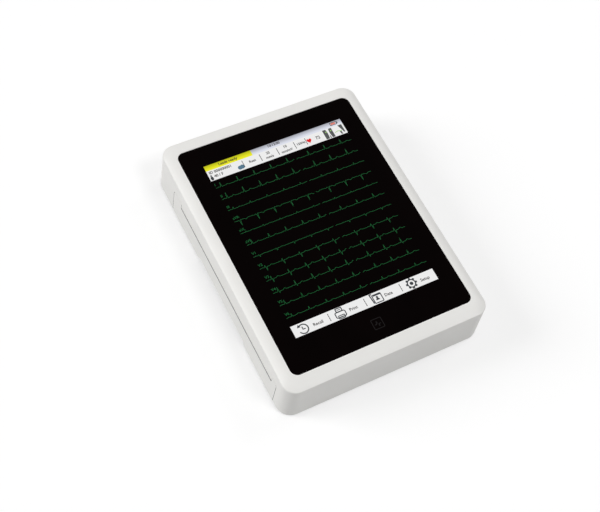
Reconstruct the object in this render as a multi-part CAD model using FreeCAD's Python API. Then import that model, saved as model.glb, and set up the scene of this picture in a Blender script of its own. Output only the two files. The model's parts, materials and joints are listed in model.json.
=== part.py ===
import FreeCAD
import Part
import math
import os

# Tablet ECG recorder: a deep white case with a portrait touch screen on top and a paper drawer in its left
# wall. It lies on its back on four feet. Millimetres, +Z up out of the screen, +Y towards the screen's top
# edge and +X to its right. The origin is on the table under the middle of the case.
# A span is a (low, high) pair along one axis.

V = FreeCAD.Vector
CLOSE = 0.01
PAST = 1.0

# Case
FOOT_H = 2.0
CASE_H = 55.0
CREASE_DROP = 4.2
CREASE_W = 225.2
CREASE_L = 301.2
CORNER_R = 14.0
DRAFT = 0.0384
WALL = 2.5
CREASE_FILLET = 1.2
RIM_FILLET = 0.8
BEZEL_STEPS = 6
ROOF_Z = 50.0
CEILING_Z = 52.9
CEILING_MARGIN = 1.5
RIM_Z = FOOT_H
TOP_Z = RIM_Z + CASE_H
CREASE_Z = TOP_Z - CREASE_DROP

# Rear cover
COVER_T = 2.5
COVER_GAP = 0.3
LIP_GAP = 0.4
LIP_H = 3.5
LIP_T = 1.5
BOARD_POST_R = 3.0
FLOOR_Z = RIM_Z + COVER_T

# Screen
GLASS_W = 200.0
GLASS_L = 270.3
GLASS_R = 7.6
GLASS_T = 1.8
GLASS_GAP = 0.3
GLASS_SINK = 0.1
GLASS_CHAMFER = 0.25
LEDGE = 5.0
TAPE_T = 0.3
TAPE_MARGIN = 0.5
FILM_W = 182.0
FILM_L = 236.0
FILM_T = 0.15
LCD_W = 176.0
LCD_L = 228.0
LCD_R = 1.5
LCD_T = 6.0
LCD_Y = 5.5
LCD_GAP = 0.2
FRAME_W = 202.0
FRAME_L = 262.0
FRAME_R = 4.0
FRAME_T = 0.8
FRAME_Y = 2.0
FRAME_WINDOW_W = 40.0
FRAME_WINDOW_L = 76.0
FRAME_WINDOW_X = 44.0
FRAME_WINDOW_Y = 50.0
GLASS_TOP_Z = TOP_Z - GLASS_SINK
GLASS_Z = GLASS_TOP_Z - GLASS_T
LEDGE_Z = GLASS_Z - TAPE_T
LCD_TOP_Z = GLASS_Z - LCD_GAP
LCD_Z = LCD_TOP_Z - LCD_T
FRAME_Z = LCD_Z - FRAME_T

# Drawer front and the paper slot above it
DOOR_Y = (-129.7, 108.0)
DOOR_TOP_Z = 36.5
DOOR_R = 4.0
DOOR_GAP = 0.5
DOOR_PRISM_W = 20.0
SLOT_Y = (-120.2, 89.8)
SLOT_TOP_Z = 30.4
SLOT_H = 1.8
GRIP_Y = (-64.5, 42.0)
GRIP_TOP_Z = 6.8
GRIP_SLOPE = 4.0
GRIP_DEPTH = 14.0

# Drawer tray
TRAY_X = (-111.0, 56.0)
TRAY_Y = (-123.0, 92.4)
TRAY_Z = (7.0, 27.5)
TRAY_T = 1.8
TRAY_FLOOR_T = 1.5
CHEEK_X = (-111.0, -92.0)
CHEEK_T = 3.5
CHEEK_TOP_Z = 29.0
STOP_X = (-90.5, -88.7)
STOP_TOP_Z = 19.0
THUMB_R = 16.0
THUMB_RISE = 4.0
RUNNER_Z = (10.0, 12.0)
RUNNER_OUT = 2.2
RAIL_X = (-88.0, 59.0)
RAIL_T = 4.2
RAIL_TOP_Z = 15.0
RAIL_END = 2.5
RAIL_GAP = 0.3
CATCH_X = (20.0, 52.0)
CATCH_PEAK_X = 36.0
CATCH_RAMP = 6.0
CATCH_T = 0.6
CATCH_W = 16.0
CATCH_GAP = 0.4
DRAWER_SCREW_Y = (-110.0, -50.0, 20.0, 80.0)
DRAWER_SCREW_Z = 12.0
DRAWER_SCREW_L = 3.6

# Paper
PAPER_W = 209.6
PAPER_PAGE = 140.0
PAPER_H = 13.0
SHEET_T = 0.13
SHEET_GAP = 0.03
SHEET_RAMP = 18.0
SHEET_TAIL = 20.0

# Platen roller and its gear train
ROLLER_X = -101.0
ROLLER_Z = 22.8
ROLLER_R = 7.0
ROLLER_END_GAP = 0.6
SHAFT_R = 3.0
SHAFT_END = 0.8
BUSH_R = 5.0
RUN_GAP = 0.04
MODULE = 0.8
ADDENDUM = 0.8
DEDENDUM = 1.15
PRESSURE_ANGLE = math.radians(20.0)
BACKLASH = 0.08
MESH_SLACK = 0.1
PLATEN_TEETH = 18
IDLER_TEETH = 30
PINION_TEETH = 14
GEAR_Y = (98.0, 103.0)
AXLE_R = 2.0
PINION_LEAN = math.radians(10.0)
MOTOR_R = 15.0
MOTOR_L = 20.0
MOTOR_FLANGE_W = 42.0
MOTOR_FLANGE_H = 8.0
MOTOR_FLANGE_T = 1.0
MOTOR_SHAFT_R = 1.5
MOTOR_SHAFT_GAP = 0.1
MOTOR_SHAFT_IN = 16.0
PILOT_R = 4.0

# Recorder frame, print head and tear bar
CHASSIS_X = (-108.0, -80.0)
CHASSIS_Y = (-129.8, 106.2)
CHASSIS_TOP_Z = 40.0
CHASSIS_T = 1.2
CHASSIS_FAR_X = -44.0
CHASSIS_FOOT_W = 16.0
CHASSIS_FOOT_L = 9.0
CHASSIS_SCREW_L = 2.9
LUG_W = 8.0
LUG_BELOW = 3.5
LUG_GAP = 2.6
PIVOT_X = -87.0
PIVOT_Z = 34.0
PIVOT_PIN_R = 1.5
PIVOT_PIN_OUT = 5.0
HEAD_X = (-107.0, -85.0)
HEAD_Y = (-118.0, 87.0)
HEAD_SINK_T = 3.0
HEAD_EAR = 3.0
HEATER_X = (-105.0, -97.0)
HEATER_Z = 30.0
HEATER_T = 1.2
SPRING_Y = (-85.0, -15.5, 54.0)
SPRING_W = 8.0
SPRING_T = 0.5
TEAR_T = 0.6
TEAR_H = 6.0
TEAR_TOOTH = 3.0
TEAR_ROOT = 0.6
TEAR_TIP = 0.2
TEAR_STANDOFF = 0.25
SENSOR_X = (-84.5, -80.5)
SENSOR_Y = (-24.0, -16.0)
SENSOR_H = 5.5

# Boards
BOARD_T = 1.6
MAIN_X = (-74.0, 96.0)
MAIN_Y = (-122.0, 100.0)
MAIN_Z = 38.5
# Main board parts: middle x, middle y, width, length, height
CHIPS = (
    (4.0, -16.0, 28.0, 28.0, 2.0),
    (37.0, -22.0, 14.0, 12.0, 1.2),
    (37.0, -4.0, 14.0, 12.0, 1.2),
    (-32.0, 38.0, 16.0, 16.0, 1.5),
    (72.0, 66.0, 24.0, 12.0, 5.0),
    (-45.0, -96.0, 30.0, 8.0, 5.0),
)
STANDOFF_R = 3.0
STANDOFF_INSET = 4.0
IO_X = (14.0, 95.0)
IO_Y = (112.0, 146.0)
IO_Z = 10.0
IO_POSTS = ((18.0, 118.0), (91.0, 118.0), (56.0, 130.0))
ECG_X = (-46.0, 0.0)
ECG_Y = (110.0, 147.0)
ECG_Z = 13.0
ECG_POSTS = ((-40.0, 116.0), (-5.0, 116.0), (-22.0, 134.0))
SHIELD_X = (-42.0, -4.0)
SHIELD_Y = (112.0, 132.0)
SHIELD_H = 7.0
SHIELD_T = 0.4
POWER_X = (60.0, 98.0)
POWER_Y = (86.0, 108.0)
POWER_POSTS = ((64.0, 90.0), (94.0, 104.0))
COIL_SIZE = 14.0
COIL_H = 10.0
CAPACITOR_R = 4.0
CAPACITOR_H = 11.5
RIBBON_T = 0.3
IO_RIBBON_X = (40.0, 66.0)
IO_RIBBON_LAP = 6.0
IO_RIBBON_DROP_Y = 108.0
IO_RIBBON_SHELF_Z = 26.0
IO_RIBBON_END_Y = 118.0
LCD_RIBBON_X = (28.0, 60.0)
LCD_RIBBON_Y = 30.0

# Sockets in the top wall
SOCKET_SINK = 0.6
SOCKET_CLEAR = 0.4
PATIENT_X = -25.0
PATIENT_Z = 20.7
PATIENT_SINK = 0.8
PATIENT_FLANGE_W = 39.2
PATIENT_FLANGE_H = 12.4
PATIENT_FLANGE_T = 1.0
PATIENT_NOSE_W = 24.6
PATIENT_NOSE_H = 8.2
PATIENT_NOSE_OUT = 0.6
PATIENT_NOSE_R = 1.8
PATIENT_NOSE_TAPER = math.radians(10.0)
PATIENT_BODY_W = 28.0
PATIENT_BODY_L = 11.0
PIN_PITCH = 2.77
PIN_ROW = 1.42
PIN_COUNTS = (8, 7)
PIN_HOLE_R = 0.55
PIN_HOLE_L = 5.0
JACK_SCREW_X = 16.65
JACK_SCREW_R = 1.55
JACK_NUT_R = 2.7
JACK_NUT_T = 0.7
NETWORK_X = 25.0
NETWORK_W = 16.0
NETWORK_H = 13.4
NETWORK_L = 21.0
MOUTH_W = 11.8
MOUTH_Z = (2.2, 9.2)
MOUTH_L = 14.0
LATCH_W = 6.4
LATCH_TOP = 11.4
USB_X = (48.0, 66.0)
USB_W = 13.2
USB_H = 5.8
USB_L = 14.0
USB_SKIN = 0.35
USB_LIFT = 0.4
USB_DEEP = 11.0
USB_TONGUE_W = 11.2
USB_TONGUE_Z = (0.2, 2.0)
DC_X = 86.0
DC_Z = 17.2
DC_R = 4.4
DC_BORE_R = 3.1
DC_PIN_R = 1.0
DC_L = 14.0
DC_COLLAR = 3.4
DC_DEEP = 9.5

# Battery, speaker and power button
BATTERY_X = 83.0
BATTERY_Y = 5.0
BATTERY_W = 40.0
BATTERY_L = 134.0
BATTERY_H = 19.0
BATTERY_R = 9.4
HATCH_W = 50.0
HATCH_L = 158.0
HATCH_R = 3.0
HATCH_T = 2.0
HATCH_GAP = 0.3
HATCH_SIDE = 3.0
HATCH_END = 10.0
HATCH_BOSS_R = 3.5
HATCH_BOSS_H = 4.0
SPEAKER_X = 76.0
SPEAKER_Y = -101.0
SPEAKER_R = 16.0
SPEAKER_T = 4.0
MAGNET_R = 9.0
MAGNET_T = 6.0
GRILLE_SLOTS = 7
GRILLE_PITCH = 3.6
GRILLE_HALF = 0.8
GRILLE_MARGIN = 2.0
BUTTON_Y = 105.0
BUTTON_Z = 30.0
BUTTON_L = 16.0
BUTTON_H = 8.0
BUTTON_PROUD = 0.6
BUTTON_R = 0.5
BUTTON_GAP = 0.3
BUTTON_FLANGE = 2.0
BUTTON_FLANGE_T = 1.8
BUTTON_FLANGE_GAP = 0.4
SWITCH_SIZE = 6.0
SWITCH_T = 3.4
SWITCH_KNOB_R = 1.7
SWITCH_KNOB_L = 1.3
SWITCH_FREE = 1.3
SWITCH_BOARD_W = 18.0

# Fasteners and feet
CASE_SCREWS = [(sx * 101.5, sy * 138.5) for sx in (-1, 1) for sy in (-1, 1)] + [(0.0, -141.0), (7.0, 141.0)]
CASE_BOSS_R = 3.75
CASE_SCREW_TOP = 20.0
FRAME_SCREWS = [(side * 98.0, y) for side in (-1, 1) for y in (-112.0, 5.0, 122.0)]
FRAME_BOSS_R = 2.6
FRAME_SCREW_L = 4.0
SCREW_HOLE_R = 1.7
SCREW_SHANK_R = 1.3
SMALL_SHANK_R = 1.0
SCREW_HEAD_R = 2.6
SCREW_HEAD_H = 1.5
SCREW_SINK = 0.1
HEAD_GAP = 0.3
KEY_R = 1.3
KEY_DEPTH = 0.7
FEET = [(sx * 82.0, sy * 128.0) for sx in (-1, 1) for sy in (-1, 1)]
FOOT_R = 8.0
FOOT_FILLET = 0.6


# Shape helpers


def around(middle, width):
    return (middle - width / 2, middle + width / 2)


def grown(span, margin):
    return (span[0] - margin, span[1] + margin)


def block(x, y, z):
    """Box from three spans."""
    return Part.makeBox(x[1] - x[0], y[1] - y[0], z[1] - z[0], V(x[0], y[0], z[0]))


def rod_x(radius, x, at_y, at_z):
    return Part.makeCylinder(radius, x[1] - x[0], V(x[0], at_y, at_z), V(1, 0, 0))


def rod_y(radius, y, at_x, at_z):
    return Part.makeCylinder(radius, y[1] - y[0], V(at_x, y[0], at_z), V(0, 1, 0))


def rod_z(radius, z, at_x, at_y):
    return Part.makeCylinder(radius, z[1] - z[0], V(at_x, at_y, z[0]), V(0, 0, 1))


def polygon_x(points, x):
    """Outline of (y, z) points, drawn out along X."""
    corners = [V(x[0], py, pz) for py, pz in points]
    return Part.Face(Part.makePolygon(corners + corners[:1])).extrude(V(x[1] - x[0], 0, 0))


def polygon_y(points, y):
    """Outline of (x, z) points, drawn out along Y."""
    corners = [V(px, y[0], pz) for px, pz in points]
    return Part.Face(Part.makePolygon(corners + corners[:1])).extrude(V(0, y[1] - y[0], 0))


def strip_points(line, thickness):
    """Closed outline of a thin strip whose lower side is the given line."""
    return line + [(a, z + thickness) for a, z in reversed(line)]


def hexagon(radius):
    return [(radius * math.cos(k * math.pi / 3), radius * math.sin(k * math.pi / 3)) for k in range(6)]


def rounded_outline(half_w, half_l, radius, z, cx=0.0, cy=0.0):
    """Rounded rectangle in a level plane, as four arcs and four lines."""
    diagonal = radius * math.sqrt(0.5)
    arcs = []
    for sx, sy in ((1, 1), (-1, 1), (-1, -1), (1, -1)):
        mx = cx + sx * (half_w - radius)
        my = cy + sy * (half_l - radius)
        ends = [V(mx + sx * radius, my, z), V(mx, my + sy * radius, z)]
        if sx * sy < 0:
            ends.reverse()
        arcs.append((ends[0], V(mx + sx * diagonal, my + sy * diagonal, z), ends[1]))
    edges = []
    for k, arc in enumerate(arcs):
        following = arcs[(k + 1) % len(arcs)]
        edges.append(Part.Arc(*arc).toShape())
        edges.append(Part.LineSegment(arc[2], following[0]).toShape())
    return Part.Wire(edges)


def slab(width, length, radius, z, cx=0.0, cy=0.0):
    """Level plate with rounded corners."""
    outline = rounded_outline(width / 2, length / 2, radius, z[0], cx, cy)
    return Part.Face(outline).extrude(V(0, 0, z[1] - z[0]))


def obround_x(length, height, x, at_y, at_z):
    """Bar along X whose section is long in Y with round ends."""
    flat = length - height
    radius = height / 2
    ends = [rod_x(radius, x, at_y + s * flat / 2, at_z) for s in (-1, 1)]
    return fuse(block(x, around(at_y, flat), around(at_z, height)), *ends)


def fuse(first, *others):
    return first.fuse(list(others)).removeSplitter()


def cut(shape, *tools):
    return shape.cut(list(tools))


def level_edges(shape, z):
    return [e for e in shape.Edges if all(abs(v.Z - z) < CLOSE for v in e.Vertexes)]


def edges_along_y(shape):
    return [e for e in shape.Edges if abs(e.Vertexes[0].Y - e.Vertexes[-1].Y) > CLOSE]


def save(node, *solids):
    shape = solids[0] if len(solids) == 1 else Part.makeCompound(list(solids))
    shape.exportStep(os.path.join("parts", node + ".step"))
    volume = sum(s.Volume for s in shape.Solids) / 1000
    print(f"{node}: {len(shape.Solids)} solid(s), {volume:.2f} cm3, valid {shape.isValid()}")


# Case walls, which lean out from the crease down to the rim


def lean(z):
    return (CREASE_Z - z) * DRAFT


def wall_x(z):
    return CREASE_W / 2 + lean(z)


def wall_y(z):
    return CREASE_L / 2 + lean(z)


def wall_outline(z, inset):
    return rounded_outline(wall_x(z) - inset, wall_y(z) - inset, CORNER_R + lean(z) - inset, z)


def tapered(inset, z):
    return Part.makeLoft([wall_outline(level, inset) for level in z], True, True)


def bezel_roll():
    """Convex roll from the crease, where the walls end, up to the edge of the glass."""
    crease = (CREASE_W / 2, CREASE_L / 2, CORNER_R)
    lip = (GLASS_W / 2 + GLASS_GAP, GLASS_L / 2 + GLASS_GAP, GLASS_R + GLASS_GAP)
    sections = []
    for k in range(BEZEL_STEPS + 1):
        s = k / BEZEL_STEPS
        sizes = [a + (b - a) * s for a, b in zip(crease, lip)]
        sections.append(rounded_outline(*sizes, CREASE_Z + CREASE_DROP * (1 - (1 - s) ** 2)))
    return Part.makeLoft(sections, True, False)


def case_outside():
    shape = tapered(0.0, (RIM_Z, CREASE_Z)).fuse(bezel_roll())
    shape = shape.makeFillet(CREASE_FILLET, level_edges(shape, CREASE_Z))
    return shape.makeFillet(RIM_FILLET, level_edges(shape, RIM_Z))


def case_inside():
    half = (GLASS_W / 2 + CEILING_MARGIN, GLASS_L / 2 + CEILING_MARGIN)
    ceiling = rounded_outline(*half, GLASS_R, CEILING_Z)
    roof = Part.makeLoft([wall_outline(ROOF_Z, WALL), ceiling], True, True)
    return tapered(WALL, (RIM_Z - PAST, ROOF_Z)).fuse(roof)


# The drawer front and its opening share one stepped outline: tall ears at both ends, a low middle at the slot


def door_prism(gap):
    """The outline grown by gap, as a solid through the left wall. In the middle the slot is the gap."""
    ends = grown(DOOR_Y, gap)
    steps = grown(SLOT_Y, DOOR_GAP - gap)
    ear = DOOR_TOP_Z + gap
    middle = SLOT_TOP_Z if gap else SLOT_TOP_Z - SLOT_H
    foot = RIM_Z - PAST
    points = [(ends[0], foot), (ends[0], ear), (steps[0], ear), (steps[0], middle)]
    points += [(steps[1], middle), (steps[1], ear), (ends[1], ear), (ends[1], foot)]
    prism = polygon_x(points, around(-wall_x(ear), DOOR_PRISM_W))
    top = level_edges(prism, ear)
    corners = [e for e in top if all(min(abs(v.Y - y) for y in ends) < CLOSE for v in e.Vertexes)]
    return prism.makeFillet(DOOR_R + gap, corners)


def finger_grip(depth):
    """Notch under the drawer front for the fingers, with sloping ends, reaching depth in from the rim."""
    wide = grown(GRIP_Y, GRIP_SLOPE / 2)
    narrow = grown(GRIP_Y, -GRIP_SLOPE / 2)
    low = RIM_Z - PAST
    points = [(wide[0], low), (narrow[0], GRIP_TOP_Z), (narrow[1], GRIP_TOP_Z), (wide[1], low)]
    return polygon_x(points, (-wall_x(RIM_Z) - PAST, -wall_x(RIM_Z) + depth))


def socket_openings():
    """Openings through the top wall, each a little larger than its socket."""
    through = around(CREASE_L / 2, 4 * WALL)
    tall = 2 * SOCKET_CLEAR
    patient = (PATIENT_FLANGE_W + tall, PATIENT_FLANGE_H + tall)
    openings = [block(around(PATIENT_X, patient[0]), through, around(PATIENT_Z, patient[1]))]
    floor = IO_Z + BOARD_T
    network_z = grown((floor, floor + NETWORK_H), SOCKET_CLEAR)
    openings.append(block(around(NETWORK_X, NETWORK_W + tall), through, network_z))
    for x in USB_X:
        low = floor + USB_LIFT
        openings.append(block(around(x, USB_W + tall), through, grown((low, low + USB_H), SOCKET_CLEAR)))
    openings.append(rod_y(DC_R + SOCKET_CLEAR, through, DC_X, DC_Z))
    return openings


def front_housing():
    pocket_size = (GLASS_W + 2 * GLASS_GAP, GLASS_L + 2 * GLASS_GAP, GLASS_R + GLASS_GAP)
    pocket = slab(*pocket_size, (LEDGE_Z, TOP_Z + PAST))
    window = slab(GLASS_W - 2 * LEDGE, GLASS_L - 2 * LEDGE, GLASS_R / 2, (ROOF_Z - PAST, TOP_Z + PAST))
    shell = cut(case_outside(), case_inside(), pocket, window)
    into_roof = CEILING_Z + SCREW_HEAD_H / 2
    posts = [rod_z(CASE_BOSS_R, (FLOOR_Z + COVER_GAP, into_roof), x, y) for x, y in CASE_SCREWS]
    posts += [rod_z(FRAME_BOSS_R, (FRAME_Z + FRAME_T, into_roof), x, y) for x, y in FRAME_SCREWS]
    pilots = [rod_z(SCREW_SHANK_R, (FLOOR_Z, CASE_SCREW_TOP + PAST), x, y) for x, y in CASE_SCREWS]
    pilots += [rod_z(SMALL_SHANK_R, (FRAME_Z, FRAME_Z + FRAME_SCREW_L), x, y) for x, y in FRAME_SCREWS]
    hole_size = (BUTTON_L + 2 * BUTTON_GAP, BUTTON_H + 2 * BUTTON_GAP)
    button_hole = obround_x(*hole_size, around(CREASE_W / 2, 4 * WALL), BUTTON_Y, BUTTON_Z)
    shell = fuse(shell, *posts)
    save("front_housing", cut(shell, door_prism(DOOR_GAP), button_hole, *socket_openings(), *pilots))


def hatch_screw_y():
    reach = HATCH_L / 2 - HATCH_END / 2
    return (BATTERY_Y - reach, BATTERY_Y + reach)


def grille_slots():
    """Slots under the speaker, cut to the length of its round cone."""
    slots = []
    for k in range(GRILLE_SLOTS):
        off = (k - (GRILLE_SLOTS - 1) / 2) * GRILLE_PITCH
        reach = math.sqrt((SPEAKER_R - GRILLE_MARGIN) ** 2 - off**2)
        across = around(SPEAKER_Y + off, 2 * GRILLE_HALF)
        slots.append(block(around(SPEAKER_X, 2 * reach), across, (0, FLOOR_Z + PAST)))
    return slots


def rear_cover():
    inset = WALL + COVER_GAP
    plate = Part.Face(wall_outline(RIM_Z, inset)).extrude(V(0, 0, COVER_T))
    lip_out = Part.Face(wall_outline(RIM_Z, inset + LIP_GAP)).extrude(V(0, 0, COVER_T + LIP_H))
    lip_in = Part.Face(wall_outline(RIM_Z, inset + LIP_GAP + LIP_T)).extrude(V(0, 0, COVER_T + LIP_H + PAST))
    doorway = block((-wall_x(RIM_Z), CHASSIS_X[1]), grown(DOOR_Y, WALL), (FLOOR_Z, FLOOR_Z + LIP_H + PAST))
    posts = [rod_z(BOARD_POST_R, (FLOOR_Z, IO_Z), x, y) for x, y in IO_POSTS + POWER_POSTS]
    posts += [rod_z(BOARD_POST_R, (FLOOR_Z, ECG_Z), x, y) for x, y in ECG_POSTS]
    posts += [rod_z(HATCH_BOSS_R, (FLOOR_Z, FLOOR_Z + HATCH_BOSS_H), BATTERY_X, y) for y in hatch_screw_y()]
    cover = fuse(plate, cut(lip_out, lip_in, doorway), *posts)
    tools = grille_slots() + [finger_grip(GRIP_DEPTH)]
    for x, y in CASE_SCREWS:
        tools.append(rod_z(SCREW_HOLE_R, (0, FLOOR_Z + PAST), x, y))
        tools.append(rod_z(SCREW_HEAD_R + HEAD_GAP, (0, RIM_Z + SCREW_SINK + SCREW_HEAD_H), x, y))
    tools.append(slab(HATCH_W, HATCH_L, HATCH_R, (0, RIM_Z + HATCH_T), BATTERY_X, BATTERY_Y))
    bay = (HATCH_W - 2 * HATCH_SIDE, HATCH_L - 2 * HATCH_END)
    tools.append(slab(*bay, HATCH_R, (0, FLOOR_Z + PAST), BATTERY_X, BATTERY_Y))
    tools += [rod_z(SCREW_SHANK_R, (0, FLOOR_Z + HATCH_BOSS_H - PAST), BATTERY_X, y) for y in hatch_screw_y()]
    seat = FLOOR_Z + CHASSIS_T
    tools += [rod_z(SCREW_SHANK_R, (seat - CHASSIS_SCREW_L, seat), x, y) for x, y in chassis_screw_places()]
    save("rear_cover", cut(cover, *tools))


# Screen


def screen():
    glass = slab(GLASS_W, GLASS_L, GLASS_R, (GLASS_Z, GLASS_TOP_Z))
    save("cover_glass", glass.makeChamfer(GLASS_CHAMFER, level_edges(glass, GLASS_TOP_Z)))
    tape_size = (GLASS_W - 2 * TAPE_MARGIN, GLASS_L - 2 * TAPE_MARGIN, GLASS_R - TAPE_MARGIN)
    tape = slab(*tape_size, (LEDGE_Z, GLASS_Z))
    inner = 2 * (LEDGE - TAPE_MARGIN)
    hollow = slab(GLASS_W - inner, GLASS_L - inner, GLASS_R / 2, grown((LEDGE_Z, GLASS_Z), PAST))
    save("glass_tape", cut(tape, hollow))
    save("touch_film", slab(FILM_W, FILM_L, LCD_R, (GLASS_Z - FILM_T, GLASS_Z), 0.0, LCD_Y))
    save("lcd_panel", slab(LCD_W, LCD_L, LCD_R, (LCD_Z, LCD_TOP_Z), 0.0, LCD_Y))
    plate = slab(FRAME_W, FRAME_L, FRAME_R, (FRAME_Z, LCD_Z), 0.0, FRAME_Y)
    through = grown((FRAME_Z, LCD_Z), PAST)
    places = [(sx * FRAME_WINDOW_X, LCD_Y + sy * FRAME_WINDOW_Y) for sx in (-1, 1) for sy in (-1, 1)]
    windows = [slab(FRAME_WINDOW_W, FRAME_WINDOW_L, FRAME_R, through, x, y) for x, y in places]
    holes = [rod_z(SMALL_SHANK_R, through, x, y) for x, y in FRAME_SCREWS]
    save("lcd_frame", cut(plate, *windows, *holes))
    screws = []
    for x, y in FRAME_SCREWS:
        head = rod_z(SCREW_HEAD_R, (FRAME_Z - SCREW_HEAD_H, FRAME_Z), x, y)
        screws.append(fuse(head, rod_z(SMALL_SHANK_R, (FRAME_Z, FRAME_Z + FRAME_SCREW_L), x, y)))
    save("lcd_frame_screws", *screws)


# Drawer


def drawer_front():
    wall = cut(tapered(0.0, (RIM_Z, CREASE_Z)), tapered(WALL, (RIM_Z - PAST, CREASE_Z + PAST)))
    inner = -wall_x(DRAWER_SCREW_Z) + WALL
    boss = (inner - WALL / 4, TRAY_X[0])
    pilot = (inner - WALL / 2, TRAY_X[0] + PAST)
    bosses = [rod_x(SCREW_HEAD_R, boss, y, DRAWER_SCREW_Z) for y in DRAWER_SCREW_Y]
    pilots = [rod_x(SCREW_SHANK_R, pilot, y, DRAWER_SCREW_Z) for y in DRAWER_SCREW_Y]
    panel = fuse(wall.common(door_prism(0.0)), *bosses)
    save("drawer_front", cut(panel, finger_grip(GRIP_DEPTH), *pilots))


def cheek_spans():
    """The two bearing plates of the tray, outside its side walls."""
    return ((TRAY_Y[0] - CHEEK_T, TRAY_Y[0]), (TRAY_Y[1], TRAY_Y[1] + CHEEK_T))


def bush_spans():
    low, high = cheek_spans()
    return ((low[0], low[1] + TRAY_T), (high[0] - TRAY_T, high[1]))


def drawer_tray():
    outer_y = grown(TRAY_Y, CHEEK_T)
    front_x = (TRAY_X[0], TRAY_X[0] + TRAY_T)
    back_x = (TRAY_X[1] - TRAY_T, TRAY_X[1])
    walls = [block(front_x, outer_y, TRAY_Z), block(back_x, TRAY_Y, TRAY_Z)]
    walls.append(block(STOP_X, TRAY_Y, (TRAY_Z[0], STOP_TOP_Z)))
    for side in ((TRAY_Y[0], TRAY_Y[0] + TRAY_T), (TRAY_Y[1] - TRAY_T, TRAY_Y[1])):
        walls.append(block(TRAY_X, side, TRAY_Z))
    walls += [block(CHEEK_X, span, (TRAY_Z[0], CHEEK_TOP_Z)) for span in cheek_spans()]
    runner_x = (CHEEK_X[1], TRAY_X[1])
    for side in ((TRAY_Y[0] - RUNNER_OUT, TRAY_Y[0]), (TRAY_Y[1], TRAY_Y[1] + RUNNER_OUT)):
        walls.append(block(runner_x, side, RUNNER_Z))
    tray = fuse(block(TRAY_X, TRAY_Y, (TRAY_Z[0], TRAY_Z[0] + TRAY_FLOOR_T)), *walls)
    tools = [rod_y(BUSH_R, grown(span, CLOSE), ROLLER_X, ROLLER_Z) for span in bush_spans()]
    tools += [rod_x(SCREW_HOLE_R, grown(front_x, PAST), y, DRAWER_SCREW_Z) for y in DRAWER_SCREW_Y]
    tools.append(rod_x(THUMB_R, grown(back_x, PAST), sum(TRAY_Y) / 2, TRAY_Z[1] + THUMB_RISE))
    save("drawer_tray", cut(tray, *tools))
    screws = []
    for y in DRAWER_SCREW_Y:
        head = rod_x(SCREW_HEAD_R, (front_x[1], front_x[1] + SCREW_HEAD_H), y, DRAWER_SCREW_Z)
        shank = rod_x(SCREW_SHANK_R, (front_x[1] - DRAWER_SCREW_L, front_x[1]), y, DRAWER_SCREW_Z)
        screws.append(fuse(head, shank))
    save("drawer_screws", *screws)


def drawer_rails():
    grooves = grown(RUNNER_Z, RAIL_GAP)
    depth = RUNNER_OUT + RAIL_GAP
    groove_x = (RAIL_X[0] - PAST, RAIL_X[1] - RAIL_END)
    rails = []
    for side, edge in ((-1, TRAY_Y[0] - RAIL_GAP), (1, TRAY_Y[1] + RAIL_GAP)):
        body = block(RAIL_X, sorted((edge, edge + side * RAIL_T)), (FLOOR_Z, RAIL_TOP_Z))
        groove = block(groove_x, sorted((edge - side * PAST, edge + side * depth)), grooves)
        rails.append(cut(body, groove))
    save("drawer_rails", *rails)
    peak = TRAY_Z[0] - CATCH_GAP
    flat = FLOOR_Z + CATCH_T
    leaf = [(CATCH_X[0], FLOOR_Z), (CATCH_X[1], FLOOR_Z), (CATCH_X[1], flat)]
    leaf += [(CATCH_PEAK_X + CATCH_RAMP, flat), (CATCH_PEAK_X, peak), (CATCH_PEAK_X - CATCH_RAMP, flat)]
    leaf.append((CATCH_X[0], flat))
    save("drawer_catch", polygon_y(leaf, around(sum(TRAY_Y) / 2, CATCH_W)))


def paper_pack():
    """Fan-fold pack, with its top sheet led forward over the roller and into the slot."""
    x0 = STOP_X[1] + ROLLER_END_GAP
    pack_z = (TRAY_Z[0] + TRAY_FLOOR_T, TRAY_Z[0] + TRAY_FLOOR_T + PAPER_H)
    across = around(sum(SLOT_Y) / 2, PAPER_W)
    low = pack_z[1] + SHEET_T
    over = ROLLER_Z + ROLLER_R + SHEET_GAP
    over_x = ROLLER_X + SHAFT_R
    line = [(-wall_x(over) + SOCKET_SINK, over), (over_x, over), (over_x + SHEET_RAMP, low)]
    line.append((x0 + PAPER_PAGE - SHEET_TAIL, low))
    sheet = polygon_y(strip_points(line, SHEET_T), across)
    save("paper_pack", block((x0, x0 + PAPER_PAGE), across, pack_z), sheet)


# Platen roller and drive


def platen():
    bushes = []
    for span in bush_spans():
        bore = rod_y(SHAFT_R + RUN_GAP, grown(span, PAST), ROLLER_X, ROLLER_Z)
        bushes.append(cut(rod_y(BUSH_R, span, ROLLER_X, ROLLER_Z), bore))
    save("platen_bushes", *bushes)
    shaft = (cheek_spans()[0][0] - SHAFT_END, GEAR_Y[1] + SHAFT_END)
    save("platen_shaft", rod_y(SHAFT_R, shaft, ROLLER_X, ROLLER_Z))
    length = grown(TRAY_Y, -TRAY_T - ROLLER_END_GAP)
    core = rod_y(SHAFT_R, grown(length, PAST), ROLLER_X, ROLLER_Z)
    save("platen_rubber", cut(rod_y(ROLLER_R, length, ROLLER_X, ROLLER_Z), core))


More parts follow.
